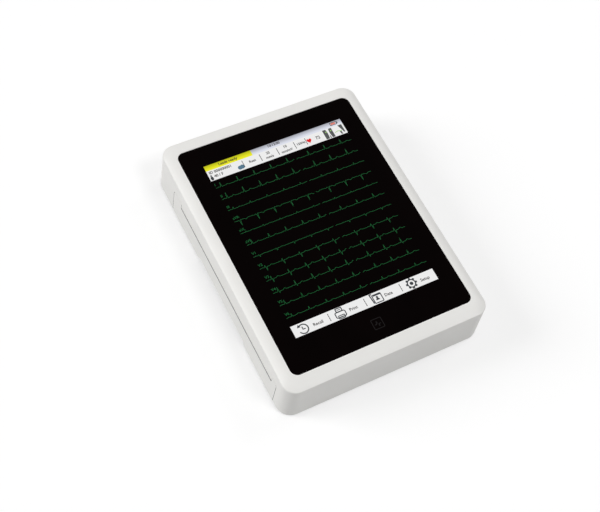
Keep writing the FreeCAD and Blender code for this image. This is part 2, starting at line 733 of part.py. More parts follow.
def gear(teeth, cx, cz, first_tooth, bore):
    """Spur gear about Y with a tooth centred at the angle first_tooth, measured from +X towards +Z."""
    pitch_r = MODULE * teeth / 2
    base_r = pitch_r * math.cos(PRESSURE_ANGLE)
    tip_r = pitch_r + ADDENDUM * MODULE
    root_r = pitch_r - DEDENDUM * MODULE

    def involute(r):
        angle = math.acos(base_r / r)
        return math.tan(angle) - angle

    def half(r):
        at_pitch = math.pi / (2 * teeth) - BACKLASH / (2 * pitch_r)
        return at_pitch + involute(pitch_r) - involute(max(r, base_r))

    def at(r, angle):
        return V(cx + r * math.cos(angle), GEAR_Y[0], cz + r * math.sin(angle))

    def flank(middle, side):
        return [at(r, middle + side * half(r)) for r in (root_r, pitch_r, tip_r)]

    step = 2 * math.pi / teeth
    edges = []
    for k in range(teeth):
        middle = first_tooth + k * step
        rise = flank(middle, -1)
        fall = flank(middle, 1)
        edges.append(Part.Arc(*rise).toShape())
        edges.append(Part.Arc(rise[2], at(tip_r, middle), fall[2]).toShape())
        edges.append(Part.Arc(*fall[::-1]).toShape())
        edges.append(Part.Arc(fall[0], at(root_r, middle + step / 2), flank(middle + step, -1)[0]).toShape())
    blank = Part.Face(Part.Wire(edges)).extrude(V(0, GEAR_Y[1] - GEAR_Y[0], 0))
    return cut(blank, rod_y(bore, grown(GEAR_Y, PAST), cx, cz))


def meshing_tooth(line, teeth, tooth, follower_teeth):
    """Tooth angle of a follower that meshes, across a line of centres, with a gear of known tooth angle."""
    step = 2 * math.pi / teeth
    share = ((line - tooth) % step) / step
    return line + math.pi + (share + 0.5) * 2 * math.pi / follower_teeth


def centre_distance(teeth_a, teeth_b):
    return MODULE * (teeth_a + teeth_b) / 2 + MESH_SLACK


IDLER_X = ROLLER_X + centre_distance(PLATEN_TEETH, IDLER_TEETH)
IDLER_Z = ROLLER_Z
MOTOR_X = IDLER_X + centre_distance(IDLER_TEETH, PINION_TEETH) * math.cos(PINION_LEAN)
MOTOR_Z = IDLER_Z + centre_distance(IDLER_TEETH, PINION_TEETH) * math.sin(PINION_LEAN)


def drive():
    idler_tooth = meshing_tooth(0.0, PLATEN_TEETH, 0.0, IDLER_TEETH)
    pinion_tooth = meshing_tooth(PINION_LEAN, IDLER_TEETH, idler_tooth, PINION_TEETH)
    save("platen_gear", gear(PLATEN_TEETH, ROLLER_X, ROLLER_Z, 0.0, SHAFT_R))
    save("idler_gear", gear(IDLER_TEETH, IDLER_X, IDLER_Z, idler_tooth, AXLE_R + RUN_GAP))
    save("motor_pinion", gear(PINION_TEETH, MOTOR_X, MOTOR_Z, pinion_tooth, MOTOR_SHAFT_R))
    save("idler_axle", rod_y(AXLE_R, (GEAR_Y[0] - SHAFT_END, CHASSIS_Y[1]), IDLER_X, IDLER_Z))
    face = CHASSIS_Y[1]
    shaft = (GEAR_Y[0], face + MOTOR_SHAFT_IN)
    save("motor_shaft", rod_y(MOTOR_SHAFT_R, shaft, MOTOR_X, MOTOR_Z))
    flange_y = (face, face + MOTOR_FLANGE_T)
    flange = block(around(MOTOR_X, MOTOR_FLANGE_W), flange_y, around(MOTOR_Z, MOTOR_FLANGE_H))
    can = rod_y(MOTOR_R, (face, face + MOTOR_L), MOTOR_X, MOTOR_Z)
    bore_y = grown((face, shaft[1]), MOTOR_SHAFT_GAP)
    bore = rod_y(MOTOR_SHAFT_R + MOTOR_SHAFT_GAP, bore_y, MOTOR_X, MOTOR_Z)
    save("stepper_motor", cut(fuse(can, flange), bore))


# Recorder frame and print head


def chassis_screw_places():
    """Middles of the two feet that hold the recorder's frame to the rear cover."""
    half_w = CHASSIS_FOOT_W / 2
    half_l = CHASSIS_FOOT_L / 2
    near = (CHASSIS_X[1] - half_w, CHASSIS_Y[0] - half_l)
    return (near, (CHASSIS_FAR_X - half_w, CHASSIS_Y[1] + half_l))


def printer_chassis():
    """Bent steel frame over the roller: a top plate, two footed legs and two lugs for the head's pivot."""
    near, far = CHASSIS_Y
    leg_z = (FLOOR_Z, CHASSIS_TOP_Z)
    foot_z = (FLOOR_Z, FLOOR_Z + CHASSIS_T)
    top = block(CHASSIS_X, CHASSIS_Y, (CHASSIS_TOP_Z - CHASSIS_T, CHASSIS_TOP_Z))
    sheets = [block(CHASSIS_X, (near, near + CHASSIS_T), leg_z)]
    sheets.append(block((CHASSIS_X[0], CHASSIS_FAR_X), (far - CHASSIS_T, far), leg_z))
    sheets.append(block((CHASSIS_X[1] - CHASSIS_FOOT_W, CHASSIS_X[1]), (near - CHASSIS_FOOT_L, near), foot_z))
    sheets.append(block((CHASSIS_FAR_X - CHASSIS_FOOT_W, CHASSIS_FAR_X), (far, far + CHASSIS_FOOT_L), foot_z))
    lug_z = (PIVOT_Z - LUG_BELOW, CHASSIS_TOP_Z)
    inside = grown(HEAD_Y, LUG_GAP)
    outside = grown(inside, CHASSIS_T)
    for span in ((outside[0], inside[0]), (inside[1], outside[1])):
        sheets.append(block(around(PIVOT_X, LUG_W), span, lug_z))
    tools = [rod_y(PIVOT_PIN_R + RUN_GAP, grown(outside, PAST), PIVOT_X, PIVOT_Z)]
    leg = grown((far - CHASSIS_T, far), CLOSE)
    tools.append(rod_y(AXLE_R, leg, IDLER_X, IDLER_Z))
    tools.append(rod_y(PILOT_R, leg, MOTOR_X, MOTOR_Z))
    tools += [rod_z(SCREW_SHANK_R, grown(foot_z, CLOSE), x, y) for x, y in chassis_screw_places()]
    save("printer_chassis", cut(fuse(top, *sheets), *tools))
    screws = []
    for x, y in chassis_screw_places():
        head = rod_z(SCREW_HEAD_R, (foot_z[1], foot_z[1] + SCREW_HEAD_H), x, y)
        screws.append(fuse(head, rod_z(SCREW_SHANK_R, (foot_z[1] - CHASSIS_SCREW_L, foot_z[1]), x, y)))
    save("chassis_screws", *screws)
    hang = CHASSIS_TOP_Z - CHASSIS_T
    save("paper_sensor", block(SENSOR_X, SENSOR_Y, (hang - SENSOR_H, hang)))


def print_head():
    """Thermal head: a heat sink over a ceramic heater bar, on two pins, pressed down by leaf springs."""
    sink_z = (HEATER_Z + HEATER_T, HEATER_Z + HEATER_T + HEAD_SINK_T)
    ear_z = (sink_z[0], PIVOT_Z + HEAD_EAR)
    ear_spans = ((HEAD_Y[0], HEAD_Y[0] + HEAD_EAR), (HEAD_Y[1] - HEAD_EAR, HEAD_Y[1]))
    ears = [block(around(PIVOT_X, 2 * HEAD_EAR), span, ear_z) for span in ear_spans]
    bores = [rod_y(PIVOT_PIN_R, grown(span, CLOSE), PIVOT_X, PIVOT_Z) for span in ear_spans]
    save("head_heat_sink", cut(fuse(block(HEAD_X, HEAD_Y, sink_z), *ears), *bores))
    save("head_heater_bar", block(HEATER_X, grown(HEAD_Y, -HEATER_T), (HEATER_Z, sink_z[0])))
    pins = ((HEAD_Y[0] - PIVOT_PIN_OUT, ear_spans[0][1]), (ear_spans[1][0], HEAD_Y[1] + PIVOT_PIN_OUT))
    save("head_pivot_pins", *[rod_y(PIVOT_PIN_R, pin, PIVOT_X, PIVOT_Z) for pin in pins])
    high = CHASSIS_TOP_Z - CHASSIS_T
    low = sink_z[1]
    front, back = HEATER_X
    leaf = [(back, high), (front, high), (front, high - SPRING_T), (back - 2 * SPRING_T, high - SPRING_T)]
    leaf += [(front, low + SPRING_T), (front + 2 * SPRING_T, low), (back, high - SPRING_T)]
    save("head_springs", *[polygon_y(leaf, around(y, SPRING_W)) for y in SPRING_Y])


def tear_bar():
    """Toothed steel strip behind the upper lip of the paper slot."""
    face = -wall_x(SLOT_TOP_Z) + WALL + TEAR_STANDOFF
    count = int((SLOT_Y[1] - SLOT_Y[0]) / TEAR_TOOTH) - 1
    start = sum(SLOT_Y) / 2 - count * TEAR_TOOTH / 2
    root = SLOT_TOP_Z + TEAR_ROOT
    points = [(start, SLOT_TOP_Z + TEAR_H), (start, root)]
    for k in range(count):
        points.append((start + (k + 0.5) * TEAR_TOOTH, SLOT_TOP_Z - TEAR_TIP))
        points.append((start + (k + 1) * TEAR_TOOTH, root))
    points.append((start + count * TEAR_TOOTH, SLOT_TOP_Z + TEAR_H))
    save("tear_bar", polygon_x(points, (face, face + TEAR_T)))


# Electronics


def chip(x, y, size, height, board_z):
    top = board_z + BOARD_T
    return block(around(x, size[0]), around(y, size[1]), (top, top + height))


def boards():
    save("main_board", block(MAIN_X, MAIN_Y, (MAIN_Z, MAIN_Z + BOARD_T)))
    save("main_board_chips", *[chip(x, y, (w, l), h, MAIN_Z) for x, y, w, l, h in CHIPS])
    places = [(x, y) for x in grown(MAIN_X, -STANDOFF_INSET) for y in grown(MAIN_Y, -STANDOFF_INSET)]
    save("board_standoffs", *[rod_z(STANDOFF_R, (MAIN_Z + BOARD_T, FRAME_Z), x, y) for x, y in places])
    save("io_board", block(IO_X, IO_Y, (IO_Z, IO_Z + BOARD_T)))
    save("ecg_board", block(ECG_X, ECG_Y, (ECG_Z, ECG_Z + BOARD_T)))
    shield_z = (ECG_Z + BOARD_T, ECG_Z + BOARD_T + SHIELD_H)
    hollow_z = (shield_z[0] - PAST, shield_z[1] - SHIELD_T)
    hollow = block(grown(SHIELD_X, -SHIELD_T), grown(SHIELD_Y, -SHIELD_T), hollow_z)
    save("ecg_shield", cut(block(SHIELD_X, SHIELD_Y, shield_z), hollow))
    save("power_board", block(POWER_X, POWER_Y, (IO_Z, IO_Z + BOARD_T)))
    top = IO_Z + BOARD_T
    middle = sum(POWER_Y) / 2
    coil = chip(POWER_X[0] + COIL_SIZE, middle, (COIL_SIZE, COIL_SIZE), COIL_H, IO_Z)
    can_x = POWER_X[1] - COIL_SIZE / 2
    can_y = around(middle, 3 * CAPACITOR_R)
    cans = [rod_z(CAPACITOR_R, (top, top + CAPACITOR_H), can_x, y) for y in can_y]
    save("power_board_parts", coil, *cans)


def ribbons():
    """Flat cables: main board to socket board, and main board to display."""
    t = RIBBON_T
    top = MAIN_Z + BOARD_T
    end = IO_Z + BOARD_T
    shelf = IO_RIBBON_SHELF_Z
    start_y = MAIN_Y[1] - IO_RIBBON_LAP
    outer = [(start_y, top), (IO_RIBBON_DROP_Y, top), (IO_RIBBON_DROP_Y, shelf), (IO_RIBBON_END_Y, shelf)]
    outer.append((IO_RIBBON_END_Y, end))
    inner = [(IO_RIBBON_END_Y + t, end), (IO_RIBBON_END_Y + t, shelf + t), (IO_RIBBON_DROP_Y + t, shelf + t)]
    inner += [(IO_RIBBON_DROP_Y + t, top + t), (start_y, top + t)]
    save("io_ribbon", polygon_x(outer + inner, IO_RIBBON_X))
    save("lcd_ribbon", block(LCD_RIBBON_X, around(LCD_RIBBON_Y, t), (top, LCD_Z)))


def speaker():
    front = rod_z(SPEAKER_R, (FLOOR_Z, FLOOR_Z + SPEAKER_T), SPEAKER_X, SPEAKER_Y)
    magnet = rod_z(MAGNET_R, (FLOOR_Z, FLOOR_Z + SPEAKER_T + MAGNET_T), SPEAKER_X, SPEAKER_Y)
    save("speaker", fuse(front, magnet))


# Sockets


def plate_y(width, height, radius, y, at_x, at_z):
    """Upright plate facing Y with rounded corners."""
    plate = slab(width, height, radius, (0, y[1] - y[0]))
    plate.rotate(V(0, 0, 0), V(1, 0, 0), 90.0)
    plate.translate(V(at_x, y[1], at_z))
    return plate


def d_nose(y):
    """D-shaped nose of the patient socket: its lower edge is narrower than its upper one."""
    wide = PATIENT_NOSE_W / 2
    narrow = wide - PATIENT_NOSE_H * math.tan(PATIENT_NOSE_TAPER)
    high = PATIENT_Z + PATIENT_NOSE_H / 2
    low = PATIENT_Z - PATIENT_NOSE_H / 2
    points = [(PATIENT_X - wide, high), (PATIENT_X + wide, high)]
    points += [(PATIENT_X + narrow, low), (PATIENT_X - narrow, low)]
    nose = polygon_y(points, y)
    return nose.makeFillet(PATIENT_NOSE_R, edges_along_y(nose))


def pin_row(count, z):
    return [(PATIENT_X + (k - (count - 1) / 2) * PIN_PITCH, z) for k in range(count)]


def pin_places():
    """Centres of the patient socket's two rows of holes, the longer row on top."""
    upper, lower = PIN_COUNTS
    return pin_row(upper, PATIENT_Z + PIN_ROW) + pin_row(lower, PATIENT_Z - PIN_ROW)


def patient_socket():
    """D-shaped socket for the patient cable, with a hexagonal jack screw at each end."""
    face = wall_y(PATIENT_Z) - PATIENT_SINK
    back = face - PATIENT_FLANGE_T
    tip = face + PATIENT_NOSE_OUT
    flange_size = (PATIENT_FLANGE_W, PATIENT_FLANGE_H, PATIENT_FLANGE_T)
    flange = plate_y(*flange_size, (back, face), PATIENT_X, PATIENT_Z)
    body_z = (ECG_Z + BOARD_T, PATIENT_Z + PATIENT_FLANGE_H / 2 - PATIENT_FLANGE_T)
    body = block(around(PATIENT_X, PATIENT_BODY_W), (back - PATIENT_BODY_L, back), body_z)
    holes = [rod_y(PIN_HOLE_R, (tip - PIN_HOLE_L, tip + PAST), x, z) for x, z in pin_places()]
    screw_x = around(PATIENT_X, 2 * JACK_SCREW_X)
    holes += [rod_y(JACK_SCREW_R, grown((back, face), PAST), x, PATIENT_Z) for x in screw_x]
    save("patient_socket", cut(fuse(flange, d_nose((back, tip)), body), *holes))
    screws = []
    for x in screw_x:
        corners = [(x + dx, PATIENT_Z + dz) for dx, dz in hexagon(JACK_NUT_R)]
        nut = polygon_y(corners, (face, face + JACK_NUT_T))
        screws.append(fuse(nut, rod_y(JACK_SCREW_R, (back - PIN_HOLE_L, face), x, PATIENT_Z)))
    save("jack_screws", *screws)


def network_socket():
    floor = IO_Z + BOARD_T
    face = wall_y(floor + NETWORK_H / 2) - SOCKET_SINK
    body = block(around(NETWORK_X, NETWORK_W), (face - NETWORK_L, face), (floor, floor + NETWORK_H))
    deep = (face - MOUTH_L, face + PAST)
    mouth = block(around(NETWORK_X, MOUTH_W), deep, (floor + MOUTH_Z[0], floor + MOUTH_Z[1]))
    latch = block(around(NETWORK_X, LATCH_W), deep, (floor + MOUTH_Z[1], floor + LATCH_TOP))
    save("network_socket", cut(body, mouth, latch))


def usb_sockets():
    middle = IO_Z + BOARD_T + USB_LIFT + USB_H / 2
    face = wall_y(middle) - SOCKET_SINK
    shells = []
    for x in USB_X:
        width = around(x, USB_W)
        height = around(middle, USB_H)
        shell = block(width, (face - USB_L, face), height)
        hollow = block(grown(width, -USB_SKIN), (face - USB_DEEP, face + PAST), grown(height, -USB_SKIN))
        tongue_z = (middle + USB_TONGUE_Z[0], middle + USB_TONGUE_Z[1])
        tongue = block(around(x, USB_TONGUE_W), (face - USB_DEEP - USB_SKIN, face - PAST), tongue_z)
        shells.append(fuse(cut(shell, hollow), tongue))
    save("usb_sockets", *shells)


def dc_socket():
    face = wall_y(DC_Z) - SOCKET_SINK
    barrel = rod_y(DC_R, (face - DC_L, face), DC_X, DC_Z)
    body = block(around(DC_X, 2 * DC_R), (face - DC_L, face - DC_COLLAR), (IO_Z + BOARD_T, DC_Z + DC_R))
    bore = rod_y(DC_BORE_R, (face - DC_DEEP, face + PAST), DC_X, DC_Z)
    pin = rod_y(DC_PIN_R, (face - DC_DEEP - CLOSE, face - PAST), DC_X, DC_Z)
    save("dc_socket", fuse(cut(fuse(barrel, body), bore), pin))


# Battery, power button, fasteners and feet


def key_recess(x, y, z):
    """Hexagon recess going up from z, for a key."""
    corners = [V(x + dx, y + dy, z - CLOSE) for dx, dy in hexagon(KEY_R)]
    return Part.Face(Part.makePolygon(corners + corners[:1])).extrude(V(0, 0, KEY_DEPTH))


def battery():
    floor = RIM_Z + HATCH_T
    pack = block(around(BATTERY_X, BATTERY_W), around(BATTERY_Y, BATTERY_L), (floor, floor + BATTERY_H))
    save("battery_pack", pack.makeFillet(BATTERY_R, edges_along_y(pack)))
    size = (HATCH_W - 2 * HATCH_GAP, HATCH_L - 2 * HATCH_GAP, HATCH_R - HATCH_GAP)
    hatch = slab(*size, (RIM_Z, floor), BATTERY_X, BATTERY_Y)
    seat = RIM_Z + HATCH_T / 2
    holes = []
    screws = []
    for y in hatch_screw_y():
        holes.append(rod_z(SCREW_HOLE_R, (0, floor + PAST), BATTERY_X, y))
        holes.append(rod_z(SCREW_HEAD_R + HEAD_GAP, (0, seat), BATTERY_X, y))
        head = rod_z(SCREW_HEAD_R, (RIM_Z + SCREW_SINK, seat), BATTERY_X, y)
        screw = fuse(head, rod_z(SCREW_SHANK_R, (seat, FLOOR_Z + HATCH_BOSS_H / 2), BATTERY_X, y))
        screws.append(cut(screw, key_recess(BATTERY_X, y, RIM_Z + SCREW_SINK)))
    save("battery_cover", cut(hatch, *holes))
    save("battery_cover_screws", *screws)


def power_button():
    outer = wall_x(BUTTON_Z)
    flange_top = outer - WALL - BUTTON_FLANGE_GAP
    back = flange_top - BUTTON_FLANGE_T
    stem = obround_x(BUTTON_L, BUTTON_H, (back, outer + BUTTON_PROUD), BUTTON_Y, BUTTON_Z)
    front = [e for e in stem.Edges if all(abs(v.X - outer - BUTTON_PROUD) < CLOSE for v in e.Vertexes)]
    flange_size = (BUTTON_L + 2 * BUTTON_FLANGE, BUTTON_H + 2 * BUTTON_FLANGE)
    flange = obround_x(*flange_size, (back, flange_top), BUTTON_Y, BUTTON_Z)
    save("power_button", fuse(stem.makeFillet(BUTTON_R, front), flange))
    knob = (back - SWITCH_FREE - SWITCH_KNOB_L, back - SWITCH_FREE)
    base = (knob[0] - SWITCH_T, knob[0])
    body = block(base, around(BUTTON_Y, SWITCH_SIZE), around(BUTTON_Z, SWITCH_SIZE))
    save("power_switch", fuse(body, rod_x(SWITCH_KNOB_R, knob, BUTTON_Y, BUTTON_Z)))
    card_z = (FLOOR_Z, BUTTON_Z + SWITCH_SIZE)
    save("switch_board", block((base[0] - BOARD_T, base[0]), around(BUTTON_Y, SWITCH_BOARD_W), card_z))


def case_screws():
    seat = RIM_Z + SCREW_SINK + SCREW_HEAD_H
    screws = []
    for x, y in CASE_SCREWS:
        head = rod_z(SCREW_HEAD_R, (RIM_Z + SCREW_SINK, seat), x, y)
        screw = fuse(head, rod_z(SCREW_SHANK_R, (seat, CASE_SCREW_TOP), x, y))
        screws.append(cut(screw, key_recess(x, y, RIM_Z + SCREW_SINK)))
    save("case_screws", *screws)


def feet():
    solids = []
    for x, y in FEET:
        foot = rod_z(FOOT_R, (0, FOOT_H), x, y)
        solids.append(foot.makeFillet(FOOT_FILLET, level_edges(foot, 0.0)))
    save("feet", *solids)


def main():
    os.makedirs("parts", exist_ok=True)
    front_housing()
    rear_cover()
    screen()
    drawer_front()
    drawer_tray()
    drawer_rails()
    paper_pack()
    platen()
    drive()
    printer_chassis()
    print_head()
    tear_bar()
    boards()
    ribbons()
    speaker()
    patient_socket()
    network_socket()
    usb_sockets()
    dc_socket()
    battery()
    power_button()
    case_screws()
    feet()


main()
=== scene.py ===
# %% [markdown]
# # Dressing a tablet ECG recorder
# The object is a deep white case with a portrait touch screen on top, a paper drawer in the left wall and
# a row of sockets in the far wall. Its solids come from a CAD program, already in place and in metres.
# They could be modelled again here, but a solid that is right only needs a good finish, so the first step
# loads the imported model, with a helper that measures the box of any one of its solids. Everything added
# later has to stay inside that box.

# %% Load the imported model
import json
import math

import bmesh
import bpy
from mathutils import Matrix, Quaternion, Vector
from mathutils.geometry import tessellate_polygon


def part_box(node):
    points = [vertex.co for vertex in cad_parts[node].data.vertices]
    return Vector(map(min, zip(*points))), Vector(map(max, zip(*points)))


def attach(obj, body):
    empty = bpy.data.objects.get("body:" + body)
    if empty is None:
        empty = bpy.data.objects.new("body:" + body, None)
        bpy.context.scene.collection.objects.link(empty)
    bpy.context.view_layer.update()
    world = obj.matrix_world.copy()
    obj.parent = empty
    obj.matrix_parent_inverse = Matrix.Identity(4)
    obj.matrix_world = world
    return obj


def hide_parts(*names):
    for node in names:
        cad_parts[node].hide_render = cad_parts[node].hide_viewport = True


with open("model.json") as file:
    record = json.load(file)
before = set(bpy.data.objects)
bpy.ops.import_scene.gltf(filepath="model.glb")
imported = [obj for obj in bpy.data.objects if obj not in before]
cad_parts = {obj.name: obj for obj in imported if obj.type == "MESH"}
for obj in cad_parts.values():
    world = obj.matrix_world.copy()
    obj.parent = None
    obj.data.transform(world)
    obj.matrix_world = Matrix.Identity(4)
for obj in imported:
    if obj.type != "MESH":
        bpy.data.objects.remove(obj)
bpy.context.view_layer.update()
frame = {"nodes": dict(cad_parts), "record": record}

MM = 0.001


# %% [markdown]
# ## The camera
# The photograph looks down at 60 degrees onto the screen's left lower corner, and the picture is rolled a
# little. A camera could be turned by eye. Here its place, its line of sight and its roll were solved from
# the corners of the glass, so that one pixel of the render is the same spot as in the photograph.
# The lens is given for a sensor 36 mm wide, which is Blender's own default.

# %% Camera
GLASS_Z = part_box("cover_glass")[1].z
EYE_FROM_GLASS = Vector((-0.37405, -0.45725, 0.9575))
LINE_OF_SIGHT = Vector((0.306284, 0.394050, -0.866553))
ROLL = math.radians(12.533)
LENS_MM = 66.914
SENSOR_MM = 36.0
NEAREST_SEEN = 10 * MM


def in_scene(name, data):
    """A new object, linked into the scene."""
    thing = bpy.data.objects.new(name, data)
    bpy.context.scene.collection.objects.link(thing)
    return thing


def aim(thing, place, direction, roll=0.0):
    """Puts a camera or a lamp at a place and turns it along a direction."""
    thing.location = place
    thing.rotation_mode = "QUATERNION"
    thing.rotation_quaternion = direction.to_track_quat("-Z", "Y") @ Quaternion((0, 0, 1), roll)


camera_data = bpy.data.cameras.new("camera")
camera_data.lens = LENS_MM
camera_data.sensor_width = SENSOR_MM
camera_data.clip_start = NEAREST_SEEN
camera = in_scene("camera", camera_data)
aim(camera, Vector((0, 0, GLASS_Z)) + EYE_FROM_GLASS, LINE_OF_SIGHT, ROLL)
bpy.context.scene.camera = camera
print("camera", [round(v, 3) for v in camera.location])

# %% [markdown]
# ## Small helpers for node trees
# A shader and a Geometry Nodes tree are both sheets of boxes with wires between them. Wiring each one by
# hand takes several lines, so a few helpers do it. Each adds one node, and anything handed to it that is
# already a socket gets a wire, while a plain number is typed into the node's own field.

# %% Node helpers
def wire(tree, socket, value):
    """Links a socket to another one, or sets it to a plain value."""
    if isinstance(value, bpy.types.NodeSocket):
        tree.links.new(value, socket)
    else:
        socket.default_value = value


def put(tree, kind, settings=None, **fields):
    """Adds a node with its settings, and fills the fields named with _ for each space."""
    node = tree.nodes.new(kind)
    for name, value in (settings or {}).items():
        setattr(node, name, value)
    for name, value in fields.items():
        wire(tree, node.inputs[name.replace("_", " ")], value)
    return node


def made(tree, kind, settings=None, **fields):
    """Adds a node in the same way, and gives its first result."""
    return put(tree, kind, settings, **fields).outputs[0]


def calc(tree, operation, *values):
    """One Math node, as its result."""
    node = put(tree, "ShaderNodeMath", {"operation": operation})
    for socket, value in zip(node.inputs, values):
        wire(tree, socket, value)
    return node.outputs[0]


print("node helpers ready")

# %% [markdown]
# ## A kit for finishes
# Each material here has one shader, Principled BSDF, which can be plastic, metal, rubber or light. Values
# that are the same all over could come from nodes, but they go straight into the shader's own sockets,
# where every export reads them. Colours are written as a paint program shows them and made linear, because
# that is how Blender counts light.

# %% Finish helpers
FINISHES = {}


def srgb(red, green, blue):
    """A colour as a paint program shows it, from 0 to 255, made linear for Blender."""
    steps = [v / 255 for v in (red, green, blue)]
    return tuple(v / 12.92 if v <= 0.04045 else ((v + 0.055) / 1.055) ** 2.4 for v in steps)


def field(material, name):
    """One socket of a material's shader."""
    return material.node_tree.nodes["Principled BSDF"].inputs[name]


def new_finish(slot, colour, roughness, metallic=0.0, specular=0.5):
    """A material with its even values on the shader's own sockets."""
    material = bpy.data.materials.new(slot)
    material.use_nodes = True
    field(material, "Base Color").default_value = (*colour, 1)
    field(material, "Roughness").default_value = roughness
    field(material, "Metallic").default_value = metallic
    field(material, "Specular IOR Level").default_value = specular
    FINISHES[slot] = material
    return material


print("white at 236 is", [round(v, 3) for v in srgb(236, 235, 232)])

# %% [markdown]
# ## Patterns for finishes
# No real surface is one flat colour. A moulded wall has a fine grain, polished metal has rub marks, and
# both catch the light unevenly. Image textures could carry that, but they need a file and a layout.
# Noise that reads Object coordinates needs neither, and its size is set in millimetres, so the grain is
# as fine as the real one wherever the piece lies. One pattern can mix colours, vary the gloss and lift
# the surface.

# %% Pattern helpers
def cloud(material, size_mm, stretch=(1, 1, 1), detail=2.0):
    """Noise with patches of this size, drawn out along an axis where stretch is above 1."""
    tree = material.node_tree
    place = put(tree, "ShaderNodeTexCoord").outputs["Object"]
    scale = [1 / (size_mm * MM * v) for v in stretch]
    mapped = made(tree, "ShaderNodeMapping", Vector=place, Scale=scale)
    return made(tree, "ShaderNodeTexNoise", Vector=mapped, Scale=1.0, Detail=detail)


def spread(material, factor, low, high, start=0.3, end=0.7):
    """A 0 to 1 pattern turned into a range of values."""
    fields = {"Value": factor, "From_Min": start, "From_Max": end, "To_Min": low, "To_Max": high}
    return made(material.node_tree, "ShaderNodeMapRange", **fields)


def blend(material, factor, first, second):
    """Two colours, or two colour sockets, mixed by a pattern."""
    tree = material.node_tree
    node = put(tree, "ShaderNodeMix", {"data_type": "RGBA"})
    wire(tree, node.inputs[0], factor)
    for socket, colour in ((node.inputs[6], first), (node.inputs[7], second)):
        wire(tree, socket, colour if isinstance(colour, bpy.types.NodeSocket) else (*colour, 1))
    return node.outputs[2]


def mottle(material, pattern, first, second):
    """Two close colours in the patches of a noise."""
    return blend(material, spread(material, pattern, 0, 1), first, second)


def colour_by(material, colour):
    """Lets a colour socket give the base colour."""
    wire(material.node_tree, field(material, "Base Color"), colour)


def gloss_by(material, pattern, low, high):
    """Lets the roughness wander between two values with a pattern."""
    wire(material.node_tree, field(material, "Roughness"), spread(material, pattern, low, high))


def relief(material, height, depth_mm, strength=1.0):
    """Makes a pattern stand out of the surface as fine bumps."""
    tree = material.node_tree
    bump = made(tree, "ShaderNodeBump", Height=height, Strength=strength, Distance=depth_mm * MM)
    wire(tree, field(material, "Normal"), bump)


print("pattern helpers ready")

# %% [markdown]
# ## Moulded plastics
# The case is white plastic with a fine spark texture, cast in one colour, so its tint hardly changes and
# the grain does the work. Paint with speckles would look dirty. The same recipe, with other numbers,
# gives the grey drawer tray, the black sockets, the pale gears and the grey button: two close colours in
# broad soft patches, gloss that wanders a little, and a shallow grain.

# %% Plastics
# slot: (colour, darker colour, patch mm, roughness low and high, grain mm, grain depth mm)
PLASTICS = {
    "case_white": (srgb(237, 236, 233), srgb(234, 233, 230), 60, (0.38, 0.50), 0.35, 0.010),
    "tray_plastic": (srgb(176, 178, 180), srgb(168, 170, 173), 40, (0.45, 0.60), 0.40, 0.020),
    "black_plastic": (srgb(34, 34, 36), srgb(26, 26, 28), 6, (0.40, 0.58), 0.25, 0.015),
    "gear_plastic": (srgb(226, 222, 208), srgb(216, 211, 196), 8, (0.30, 0.42), 0.50, 0.006),
    "button_grey": (srgb(150, 153, 156), srgb(142, 145, 149), 5, (0.45, 0.60), 0.22, 0.012),
}
GRAINS_PER_GLOSS_PATCH = 4
GRAIN_STRENGTH = 0.5
for slot, (pale, dark, patch, (smooth, rough), grain, depth) in PLASTICS.items():
    plastic = new_finish(slot, pale, rough)
    colour_by(plastic, mottle(plastic, cloud(plastic, patch), pale, dark))
    gloss_by(plastic, cloud(plastic, GRAINS_PER_GLOSS_PATCH * grain), smooth, rough)
    relief(plastic, cloud(plastic, grain, detail=1.0), depth, GRAIN_STRENGTH)
print("plastics:", ", ".join(PLASTICS))

# %% [markdown]
# ## Metals
# Sheet steel shows the direction it was rolled in, turned pins show fine rings, and plated shells are
# smooth but cloudy. All of that is noise stretched along one axis. A true anisotropic shader could do it,
# but stretched noise in the roughness and a faint relief look the same at this size and export well.

# %% Metals
# slot: (colour, dull colour, stretch of the marks, mark mm, roughness low and high)
METALS = {
    "steel_sheet": (srgb(196, 198, 200), srgb(176, 178, 182), (1, 30, 1), 0.5, (0.28, 0.42)),
    "steel_turned": (srgb(190, 190, 192), srgb(168, 169, 172), (6, 1, 6), 0.3, (0.20, 0.34)),
    "aluminium": (srgb(214, 215, 217), srgb(198, 199, 203), (1, 40, 1), 0.4, (0.26, 0.40)),
    "nickel": (srgb(206, 203, 196), srgb(190, 186, 178), (1, 1, 1), 2.0, (0.18, 0.30)),
    "brass_plain": (srgb(206, 176, 108), srgb(186, 152, 84), (1, 6, 1), 0.4, (0.22, 0.36)),
    "bush_bronze": (srgb(168, 128, 84), srgb(120, 88, 56), (1, 1, 1), 0.3, (0.38, 0.60)),
    "contact_gold": (srgb(230, 194, 114), srgb(204, 162, 82), (1, 5, 1), 0.5, (0.18, 0.34)),
}
MARK_DEPTH_MM = 0.004
MARK_STRENGTH = 0.4
for slot, (bright, dull, stretch, mark, (smooth, rough)) in METALS.items():
    metal = new_finish(slot, bright, rough, metallic=1.0)
    marks = cloud(metal, mark, stretch, detail=3.0)
    colour_by(metal, mottle(metal, marks, bright, dull))
    gloss_by(metal, marks, smooth, rough)
    relief(metal, marks, MARK_DEPTH_MM, MARK_STRENGTH)
print("metals:", ", ".join(METALS))

# %% [markdown]
# ## Rubber and tape
# The roller and the feet are matt rubber with a dusty bloom, and the foam tape under the glass has open
# cells. Both could be plain black, but then they would be lost in their own shadow. The bloom is noise in
# the colour and the gloss, and the cells are noise that also dents the surface.

# %% Rubber and tape
rubber = new_finish("rubber_black", srgb(40, 40, 42), 0.75)
bloom = cloud(rubber, 3.0, detail=4.0)
colour_by(rubber, mottle(rubber, bloom, srgb(34, 34, 36), srgb(52, 52, 54)))
gloss_by(rubber, bloom, 0.68, 0.85)
relief(rubber, cloud(rubber, 0.2), 0.02, 0.6)

